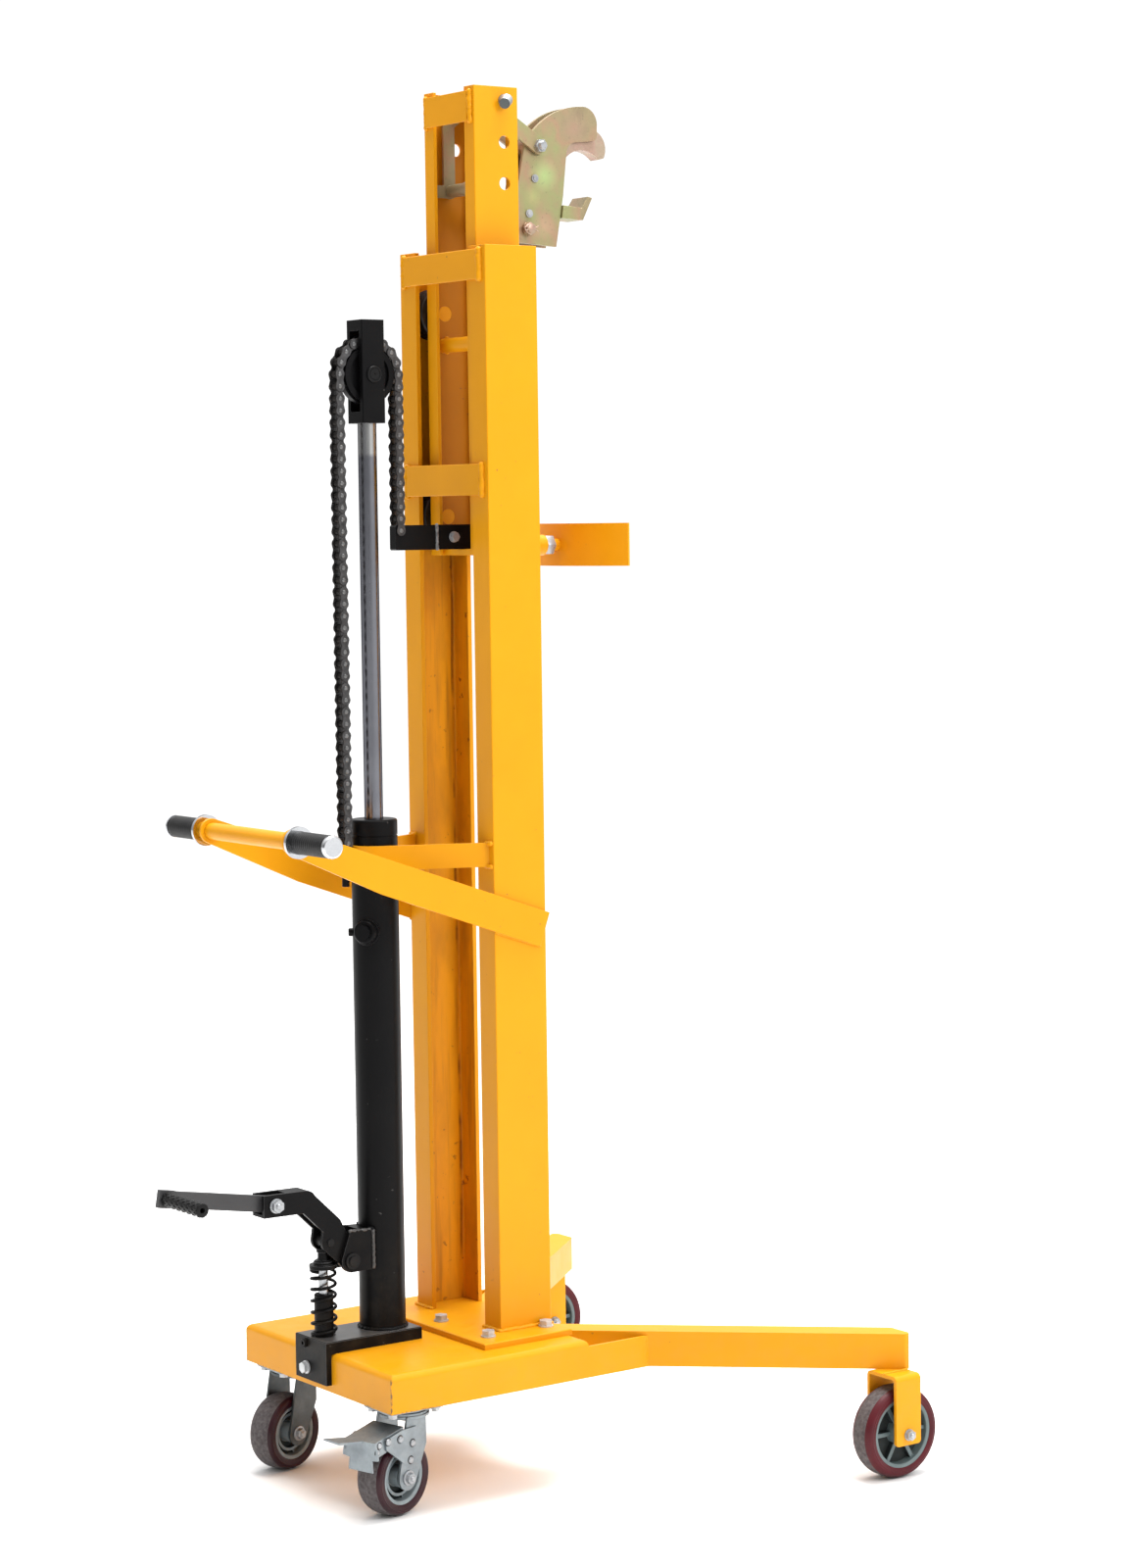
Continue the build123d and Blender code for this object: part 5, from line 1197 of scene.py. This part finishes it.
pedalBar = {
    "x": -557.0, "z": 511.0, "near": -116.0, "far": 5.0, "radius": 11.5, "rings": 110, "around": 108,
    "diamonds": 7, "lead": 16.0, "groove": 0.17, "flank": 0.35, "cut": 1.3, "bore": 4.0, "boreDepth": 12.0,
    "edge": 0.6, "chamfer": 1.8,
}


def knurledBar(name, settings):
    # round bar with a drilled end, its skin cut by two crossing sets of grooves
    length, radius = settings["far"] - settings["near"], settings["radius"]
    bore, depth = settings["bore"], settings["boreDepth"]
    edge, chamfer = settings["edge"], settings["chamfer"]
    outline = [(0, depth), (bore, depth), (bore, edge), (bore + edge, 0)]
    outline += [(radius - chamfer, 0), (radius - edge, edge)]
    for k in range(settings["rings"] + 1):
        outline.append((radius, chamfer + (length - 2 * chamfer) * k / settings["rings"]))
    outline += [(radius - chamfer, length), (0, length)]
    bar = turned(name, outline, settings["around"], closed=False)
    skinGap = 0.01
    for vertex in bar.data.vertices:
        if abs(math.hypot(vertex.co.x, vertex.co.y) - radius * mm) < skinGap * mm:
            around = settings["diamonds"] * math.atan2(vertex.co.y, vertex.co.x) / (2 * math.pi)
            along = vertex.co.z / mm / settings["lead"]
            nearest = min(abs(part - round(part)) for part in (around + along, around - along))
            sunk = 1 - min(max(nearest / settings["groove"] - settings["flank"], 0), 1)
            shrink = 1 - settings["cut"] * sunk / radius
            vertex.co.x *= shrink
            vertex.co.y *= shrink
    placeAlong(bar, (settings["x"], settings["near"], settings["z"]), (0, 1, 0))
    return smooth(cleanMesh(bar), angle=45)


fit(knurledBar("pedalBar", pedalBar), "pedal", "black_paint", pinBlack, "pedal_grip")
print("spring, grips and pedal bar fitted")

# pulley pin with a grooved, dimpled head at each end

pulleyPin = {
    "at": (-164.0, 0.0, 1786.0), "half": 26.6, "shank": 8.0, "head": 13.0, "headFrom": 23.1, "edge": 0.9,
    "groove": 9.4, "grooveDeep": 0.9, "grooveLips": (0.7, -1.0), "grooveFloor": (0.3, -0.5),
    "dimple": [(2.4, 0), (1.2, 1.6), (0, 1.9)], "around": 48,
}


def pinWithHeads(name, settings):
    half, low, head, edge = settings["half"], settings["headFrom"], settings["head"], settings["edge"]
    outerLip, innerLip = (settings["groove"] + more for more in settings["grooveLips"])
    outerFloor, innerFloor = (settings["groove"] + more for more in settings["grooveFloor"])
    floor = half - settings["grooveDeep"]
    side = [
        (settings["shank"], low), (head, low), (head, half - edge), (head - edge, half),
        (outerLip, half), (outerFloor, floor), (innerFloor, floor), (innerLip, half),
    ]
    side += [(r, half - deep) for r, deep in settings["dimple"]]
    pin = turned(name, below(side) + side, settings["around"], closed=False)
    placeAlong(pin, settings["at"], (0, 1, 0))
    return smooth(cleanMesh(pin), angle=35)


fit(pinWithHeads("pulleyPin", pulleyPin), "rod", "zinc_plate", pinBlack, "pulley_axle")

# collared nut with a split pin on the tail pivot, threaded ends on the head bolt

tailNut = {
    "at": (140.0, 2025.0), "from": 21.3, "flats": 19.0, "tall": 6.5, "edge": 0.6,
    "collar": 7.6, "collarTall": 3.2, "collarEdge": 0.5, "pin": 1.3, "pinAt": 0.45, "eye": 3.0, "eyeOut": 2.6,
    "leg": 0.8, "legLong": 9.0, "legOut": 2.2, "legApart": 2.4, "legSplay": 0.5,
}
headEnds = {"at": (160.0, 2159.0), "from": 33.6, "radius": 7.15, "turns": 4, "pitch": 1.4}
threadShape = {"deep": 0.6, "tipDeep": 1.0, "tipTall": 0.4, "around": 24}


def collarNut(name, settings):
    # hexagon with a round collar, and a split pin through it with its legs bent apart
    tall, collar, collarTall = settings["tall"], settings["collar"], settings["collarTall"]
    collarAt = tall + collarTall / 2
    parts = [
        hexagon(name, settings["flats"], tall, tall / 2, settings["edge"]),
        prism(name + "Collar", roundSides["small"], collar, collarTall, collarAt, settings["collarEdge"]),
    ]
    height = tall + settings["pinAt"] * collarTall
    bpy.ops.object.select_all(action="DESELECT")
    bpy.ops.mesh.primitive_torus_add(
        major_radius=settings["eye"] * mm, minor_radius=settings["pin"] * mm,
        major_segments=20, minor_segments=roundSides["thin"],
        location=Vector((-(collar + settings["eyeOut"]), 0, height)) * mm,
    )
    parts.append(settle(bpy.context.active_object))
    leg = prism("leg", roundSides["thin"], settings["leg"] * settings["pin"], settings["legLong"])
    for way in (1, -1):
        place = Vector((collar + settings["legOut"], way * settings["legApart"], height)) * mm
        splay = Matrix.Rotation(way * settings["legSplay"], 4, "Z") @ Matrix.Rotation(math.pi / 2, 4, "Y")
        parts.append(copyAt(leg, Matrix.Translation(place) @ splay, name))
    dropPiece(leg)
    return smooth(joinAll(parts, name), angle=35)


def threadedEnd(name, settings):
    radius, pitch, turns = settings["radius"], settings["pitch"], settings["turns"]
    outline = [(0, 0)]
    for k in range(turns):
        outline += [(radius, (k + 0.25) * pitch), (radius - threadShape["deep"], (k + 0.75) * pitch)]
    tip = turns * pitch + threadShape["tipTall"]
    outline += [(radius - threadShape["tipDeep"], tip), (0, tip)]
    return smooth(turned(name, outline, threadShape["around"], closed=False), angle=30)


def placeOnSide(obj, settings, way):
    # a pivot's end on the left or right face, pointing outwards
    x, z = settings["at"]
    return placeAlong(obj, (x, way * settings["from"], z), (0, way, 0))


for side, way in sides:
    nut = placeOnSide(collarNut("tailNut" + side.title(), tailNut), tailNut, way)
    fit(nut, "grip_tail", "yellow_zinc", copperZinc)
    end = placeOnSide(threadedEnd("headThread" + side.title(), headEnds), headEnds, way)
    fit(end, "grip_lever", "zinc_plate", whiteZinc)

# bolts with washer, hexagon and the end of the thread

frontAxle = {
    "face": 36.0, "shank": 6.0, "collar": 10.0, "collarFrom": 21.4, "collarTo": 30.0,
    "washer": 9.5, "flats": 15.0, "tall": 6.5, "radius": 4.6, "turns": 3, "pitch": 1.2,
}
casterAxle = {
    "face": 32.0, "shank": 6.0, "collar": 10.0, "collarFrom": 22.4, "collarTo": 28.0,
    "washer": 12.0, "flats": 16.0, "tall": 6.5, "radius": 4.6, "turns": 3, "pitch": 1.2,
}
bracketBolt = {
    "at": (-8.0, 0.0, 1527.0), "face": 8.5, "shank": 6.0,
    "washer": 9.0, "flats": 14.0, "tall": 6.0, "turns": 0,
}
restNut = {"flats": 30.0, "tall": 16.0, "z": 1511.0, "edge": 1.0}
foldEnd = {"at": (-370.0, -18.0, 479.0), "washer": 11.8, "from": 8.4, "radius": 5.0, "turns": 3, "pitch": 1.3}
boltShape = {
    "washerTall": 2.4, "washerEdge": 0.5, "hexEdge": 0.8, "facing": 0.44, "facingTall": 0.5,
    "facingRise": 0.2, "threadSunk": 0.8,
}


def washerRing(name, radius):
    # along Z from the clamped face
    tall = boltShape["washerTall"]
    return prism(name, roundSides["large"], radius, tall, tall / 2, boltShape["washerEdge"])


def boltEnd(name, settings):
    # along Z from the clamped face
    tall, flats, washerTall = settings["tall"], settings["flats"], boltShape["washerTall"]
    top = washerTall + tall
    facing, facingAt = boltShape["facing"] * flats, top + boltShape["facingRise"]
    parts = [
        washerRing(name + "Washer", settings["washer"]),
        hexagon(name + "Hex", flats, tall, washerTall + tall / 2, boltShape["hexEdge"]),
        prism(name + "Face", roundSides["middle"], facing, boltShape["facingTall"], facingAt),
    ]
    if settings["turns"]:
        thread = threadedEnd(name + "Thread", settings)
        parts.append(placeAlong(thread, (0, 0, top - boltShape["threadSunk"]), (0, 0, 1)))
    return joinAll(parts, name)


def axleBolt(name, settings):
    # along Z about its middle: shank, collars beside the hub if there are any, an end on each face
    face = settings["face"]
    parts = [prism(name + "Shank", roundSides["middle"], settings["shank"], 2 * face)]
    for way in (1, -1):
        if "collar" in settings:
            long = settings["collarTo"] - settings["collarFrom"]
            middle = (settings["collarTo"] + settings["collarFrom"]) / 2
            collar = prism(name + "Collar", roundSides["large"], settings["collar"], long, way * middle)
            parts.append(collar)
        parts.append(placeAlong(boltEnd(name + "End", settings), (0, 0, way * face), (0, 0, way)))
    return smooth(joinAll(parts, name), angle=30)


frontPair = []
for side, sign in sides:
    bolt = axleBolt("frontAxleBolt", frontAxle)
    frontPair.append(placeAlong(bolt, frontAxleAt[side], (0, sign, 0)))
    bolt = placeAlong(axleBolt("casterAxleBolt" + side.title(), casterAxle), casterAxleAt[side], casterAxis)
    node = f"caster_{side}_axle"
    fit(bolt, bodyOf[node], "zinc_plate", whiteZinc, node)
fit(joinAll(frontPair, "frontAxleBolts"), "chassis", "zinc_plate", whiteZinc, "front_axle_bolts")

bolt = placeAlong(axleBolt("bracketBolt", bracketBolt), bracketBolt["at"], (0, 1, 0))
nut = hexagon("restNut", restNut["flats"], restNut["tall"], 0.0, restNut["edge"])
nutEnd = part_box("carriage_fasteners")[1][0] / mm
placeAlong(nut, (nutEnd - restNut["tall"] / 2, 0, restNut["z"]), (1, 0, 0))
fasteners = smooth(joinAll([bolt, nut], "carriageBolts"), angle=30)
fit(fasteners, "carriage", "zinc_plate", whiteZinc, "carriage_fasteners")

ring = washerRing("foldWasher", foldEnd["washer"])
thread = placeAlong(threadedEnd("foldThread", foldEnd), (0, 0, foldEnd["from"]), (0, 0, 1))
fold = smooth(joinAll([ring, thread], "foldBoltEnd"), angle=30)
placeAlong(fold, foldEnd["at"], (0, -1, 0))
fit(fold, bodyOf["lever_pins"], "zinc_plate", whiteZinc)

# dome rivets of the braked caster, X and Z in its own frame

rivets = {
    "caster_right_fork": {
        "on": "caster_right_fork", "from": 34.8, "radius": 5.4, "rise": 3.2,
        "at": [(-20.0, 117.0), (-25.0, 91.0), (-76.6, 130.5)],
    },
    "brake_pedal": {
        "on": "brake_pedal", "from": 31.4, "radius": 4.4, "rise": 2.6, "at": [(-93.0, 127.5), (-98.5, 118.0)],
    },
    "brake_hinge": {"on": "brake_pedal", "from": 34.8, "radius": 5.6, "rise": 4.4, "at": [(-49.0, 129.0)]},
}
# the dome's outline in shares of the radius and of the rise
rivetShape = {
    "rim": 1.3, "rimTall": 0.4, "around": 28,
    "dome": [(1, 0.3), (0.93, 0.6), (0.77, 0.8), (0.5, 0.95), (0, 1)],
}


def domeRivet(name, settings):
    radius, rise = settings["radius"], settings["rise"]
    rim, rimTall = radius + rivetShape["rim"], rivetShape["rimTall"]
    outline = [(0, 0), (rim, 0), (rim, rimTall), (radius, rimTall)]
    outline += [(out * radius, up * rise) for out, up in rivetShape["dome"]]
    head = setFinish(turned(name, outline, rivetShape["around"], closed=False), whiteZinc, darkSteelAndPaintedShade)
    # painted shadow: the rim round the foot of the dome takes the darker steel
    for face in head.data.polygons:
        face.material_index = 1 if math.hypot(face.center.x, face.center.y) > radius * mm else 0
    return head


rightSwivel = Vector((caster["x"], -caster["y"], 0)) * mm
casterFrame = Matrix.Translation(rightSwivel) @ Matrix.Rotation(casterYaw, 4, "Z")
for label, settings in rivets.items():
    head = domeRivet("rivetHead", settings)
    heads = []
    for x, z in settings["at"]:
        for way in (1, -1):
            place = Matrix.Translation(Vector((x, way * settings["from"], z)) * mm) @ axisTurn((0, way, 0))
            heads.append(copyAt(head, casterFrame @ place, "rivetHead"))
    dropPiece(head)
    fitMixed(smooth(joinAll(heads, "rivets_" + label), angle=40), bodyOf[settings["on"]], "zinc_plate")
print("bolts and rivets fitted")

# weld beads, in shares of the bead's radius

weldShape = {"step": 0.85, "drop": (0.86, 1.12), "stray": 0.1, "voxel": 0.28, "relax": 0.5, "passes": 2}


def weldBead(name, path, width, body, material, slotName):
    # overlapping puddles along the path, melted into one skin
    radius = width * mm
    drops = []
    for first, last in zip(path[:-1], path[1:]):
        first, last = Vector(first) * mm, Vector(last) * mm
        count = max(2, int((last - first).length / (radius * weldShape["step"])))
        for k in range(count + 1):
            spot = first.lerp(last, k / count)
            size = radius * draw.uniform(*weldShape["drop"])
            stray = Vector((draw.uniform(-1, 1), draw.uniform(-1, 1), draw.uniform(-1, 1)))
            place = spot + stray * weldShape["stray"] * radius
            bpy.ops.object.select_all(action="DESELECT")
            bpy.ops.mesh.primitive_ico_sphere_add(subdivisions=2, radius=size, location=place)
            drops.append(bpy.context.active_object)
    bead = joinAll(drops, name)
    useModifier(bead, "REMESH", mode="VOXEL", voxel_size=radius * weldShape["voxel"])
    useModifier(bead, "SMOOTH", factor=weldShape["relax"], iterations=weldShape["passes"])
    return fit(smooth(bead, angle=60), body, slotName, material)


# name, path on the left side, radius and body
pairedBeads = [
    ("weldCrossMid", [(-18.5, 109, 1595), (-18.5, 109, 1641)], 6.2, "chassis"),
    ("weldCrossTop", [(-18.5, 109, 1936), (-18.5, 109, 1980)], 6.2, "chassis"),
    ("weldInner", [(-0.5, 63, 2188), (-0.5, 63, 2234)], 5.2, "carriage"),
    ("weldFoot", [(-17, 125, 245), (83, 125, 245)], 4.0, "chassis"),
    ("weldFootRear", [(-18, 78, 245), (-18, 124, 245)], 4.0, "chassis"),
    ("weldStay1000", [(-18, 105, 1000), (-18, 118, 1000)], 4.4, "chassis"),
    ("weldStay1037", [(-18, 105, 1037), (-18, 118, 1037)], 4.4, "chassis"),
    ("weldArm", [(69, 125, 866), (-16, 125, 895)], 3.0, "chassis"),
    ("weldFork", [(473, 500, 172), (520, 500, 172)], 2.6, "chassis"),
    ("weldGusset", [(203, 221, 176), (203, 221, 219)], 3.2, "chassis"),
    ("weldTieBar", [(29, 57, 1827), (29, 57, 1849)], 4.0, "carriage"),
]
for side, sign in sides:
    for name, path, width, body in pairedBeads:
        sidePath = [(x, sign * y, z) for x, y, z in path]
        weldBead(name + side.title(), sidePath, width, body, yellowPaint, "yellow_paint")

tubeFoot = {"x": -164.0, "z": 255.0, "radius": 38.0, "count": 24}
plug = {"x": -164.0, "z": 900.0, "turn": 33.0, "radius": 19.5, "tube": 37.5, "weld": 3.0, "count": 28}
bleedScrew = {
    "z": 896.0, "out": (-0.82, 0.57, 0.0), "from": 33.0, "tall": 11.0, "radius": 6.5, "edge": 1.2,
    "socket": (2.8, 2.2), "socketDeep": 1.4, "around": 28,
}


def tubeRing(settings):
    points = []
    for k in range(settings["count"] + 1):
        angle = 2 * math.pi * k / settings["count"]
        x = settings["x"] + settings["radius"] * math.cos(angle)
        points.append((x, settings["radius"] * math.sin(angle), settings["z"]))
    return points


def plugRing(settings):
    # the line where the plug's round boss meets the round tube
    turn = math.radians(settings["turn"])
    ahead = Vector((-math.cos(turn), -math.sin(turn), 0))
    across = Vector((-ahead.y, ahead.x, 0))
    points = []
    for k in range(settings["count"] + 1):
        angle = 2 * math.pi * k / settings["count"]
        aside = settings["radius"] * math.cos(angle)
        out = math.sqrt(settings["tube"] ** 2 - aside ** 2)
        spot = Vector((settings["x"], 0, settings["z"] + settings["radius"] * math.sin(angle)))
        points.append(tuple(spot + across * aside + ahead * out))
    return points


blackBeads = [
    ("weldTube", tubeRing(tubeFoot), 3.6, "chassis", blackPaint),
    ("weldBracket", [(-40, -8.6, 1509), (-40, -8.6, 1546)], 3.2, "carriage", weldScuff),
    ("weldLug", [(-197, -26, 421), (-192, 26, 421)], 3.0, "chassis", blackPaint),
    # painted highlight: the lug's top and side welds in the lighter oily black
    ("weldLugTop", [(-238, -24, 422), (-196, -24, 420)], 2.8, "chassis", oilAndSheenBlack),
    ("weldLugSide", [(-196, -27, 418), (-196, -27, 359)], 3.0, "chassis", oilAndSheenBlack),
    ("weldPlug", plugRing(plug), plug["weld"], "chassis", blackPaint),
]
for name, path, width, body, material in blackBeads:
    weldBead(name, path, width, body, material, "black_paint")


def socketScrew(name, settings):
    tall, radius, edge = settings["tall"], settings["radius"], settings["edge"]
    mouth, floor = settings["socket"]
    deep = tall - settings["socketDeep"]
    outline = [(0, 0), (radius, 0), (radius, tall - edge), (radius - edge, tall)]
    outline += [(mouth, tall), (floor, deep), (0, deep)]
    screw = turned(name, outline, settings["around"], closed=False)
    place = Vector((plug["x"], 0, settings["z"])) + Vector(settings["out"]) * settings["from"]
    return smooth(placeAlong(screw, place, settings["out"]), angle=35)


fit(socketScrew("bleedScrew", bleedScrew), "chassis", "black_paint", blackPaint)
print("welds laid")

# floor, light and camera

floorLook = {
    "size": 60, "gloss": 0.85, "sheen": 0.2, "grain": 3.0,
    "tones": ((0.91, 0.91, 0.905, 1), (0.93, 0.93, 0.925, 1)),
}


def layFloor(settings):
    bpy.ops.object.select_all(action="DESELECT")
    bpy.ops.mesh.primitive_plane_add(size=settings["size"], location=(0, 0, 0))
    floor = bpy.context.active_object
    floor.name = "studioFloor"
    material, tree, shader = startMaterial(
        "studioFloorPaint", Roughness=settings["gloss"], Specular_IOR_Level=settings["sheen"],
    )
    cloud = noiseAt(tree, objectPlace(tree), settings["grain"])
    tree.links.new(blendColour(tree, cloud, *settings["tones"]), shader.inputs["Base Color"])
    setFinish(floor, material)


layFloor(floorLook)

# white sweep to look at; for light and reflections the room is dimmer on the near side
# and brighter overhead
studio = {
    "plain": 0.80, "nearSide": (-0.98, -0.2, 0.0), "nearFrom": -0.1, "nearTo": 0.65, "nearDrop": -0.60,
    "overheadFrom": 0.25, "overheadTo": 0.95, "overheadLift": 1.0, "sweep": 1.08,
}


def makeStudio(settings):
    world = bpy.data.worlds.new("studioWorld")
    bpy.context.scene.world = world
    world.use_nodes = True
    tree = world.node_tree
    ray = addNode(tree, "ShaderNodeTexCoord").outputs["Generated"]
    along = addNode(tree, "ShaderNodeVectorMath", operation="DOT_PRODUCT")
    tree.links.new(ray, along.inputs[0])
    along.inputs[1].default_value = settings["nearSide"]
    upward = splitPlace(tree, ray)[2]
    nearRange = settings["nearFrom"], settings["nearTo"], 0.0, settings["nearDrop"]
    near = remap(tree, along.outputs["Value"], *nearRange)
    overheadRange = settings["overheadFrom"], settings["overheadTo"], 0.0, settings["overheadLift"]
    overhead = remap(tree, upward, *overheadRange)
    room = reckon(tree, "ADD", near, overhead, settings["plain"])
    seen = addNode(tree, "ShaderNodeLightPath").outputs["Is Camera Ray"]
    lift = reckon(tree, "MULTIPLY", reckon(tree, "SUBTRACT", settings["sweep"], room), seen)
    background = tree.nodes["Background"]
    tree.links.new(reckon(tree, "ADD", room, lift), background.inputs["Strength"])
    background.inputs["Color"].default_value = white


makeStudio(studio)

lamps = {
    "keySoftbox": {"at": (1.5, -5.0, 4.2), "aim": (0, 0, 1.0), "size": 2.6, "power": 160},
    "topSoftbox": {"at": (0.7, 0.2, 5.4), "aim": (0.2, 0, 0), "size": 3.0, "power": 380},
}
for name, lamp in lamps.items():
    light = bpy.data.lights.new(name, "AREA")
    light.energy = lamp["power"]
    light.size = lamp["size"]
    holder = bpy.data.objects.new(name, light)
    bpy.context.scene.collection.objects.link(holder)
    holder.location = lamp["at"]
    holder.rotation_euler = (Vector(lamp["aim"]) - Vector(lamp["at"])).to_track_quat("-Z", "Y").to_euler()

# angles in degrees, place in metres
view = {
    "azimuth": -35.277, "pitch": 4.497, "roll": -0.774, "place": (-3.07706, -4.63718, 1.5604),
    "lens": 78.6, "sensor": 36, "clip": 200,
}


def aimCamera(settings):
    azimuth, pitchDown = math.radians(settings["azimuth"]), math.radians(settings["pitch"])
    roll = math.radians(settings["roll"])
    level = math.cos(pitchDown)
    back = Vector((math.sin(azimuth) * level, -math.cos(azimuth) * level, math.sin(pitchDown)))
    right = Vector((math.cos(azimuth), math.sin(azimuth), 0))
    up = back.cross(right)
    across = right * math.cos(roll) + up * math.sin(roll)
    upward = -right * math.sin(roll) + up * math.cos(roll)
    lens = bpy.data.cameras.new("photoCamera")
    lens.sensor_fit = "VERTICAL"
    lens.sensor_height = settings["sensor"]
    lens.lens = settings["lens"]
    lens.clip_end = settings["clip"]
    camera = bpy.data.objects.new("photoCamera", lens)
    bpy.context.scene.collection.objects.link(camera)
    turn = Matrix((across, upward, back)).transposed().to_4x4()
    camera.matrix_world = Matrix.Translation(settings["place"]) @ turn
    bpy.context.scene.camera = camera


aimCamera(view)
bpy.context.scene.view_settings.view_transform = "Standard"

print("scene ready")
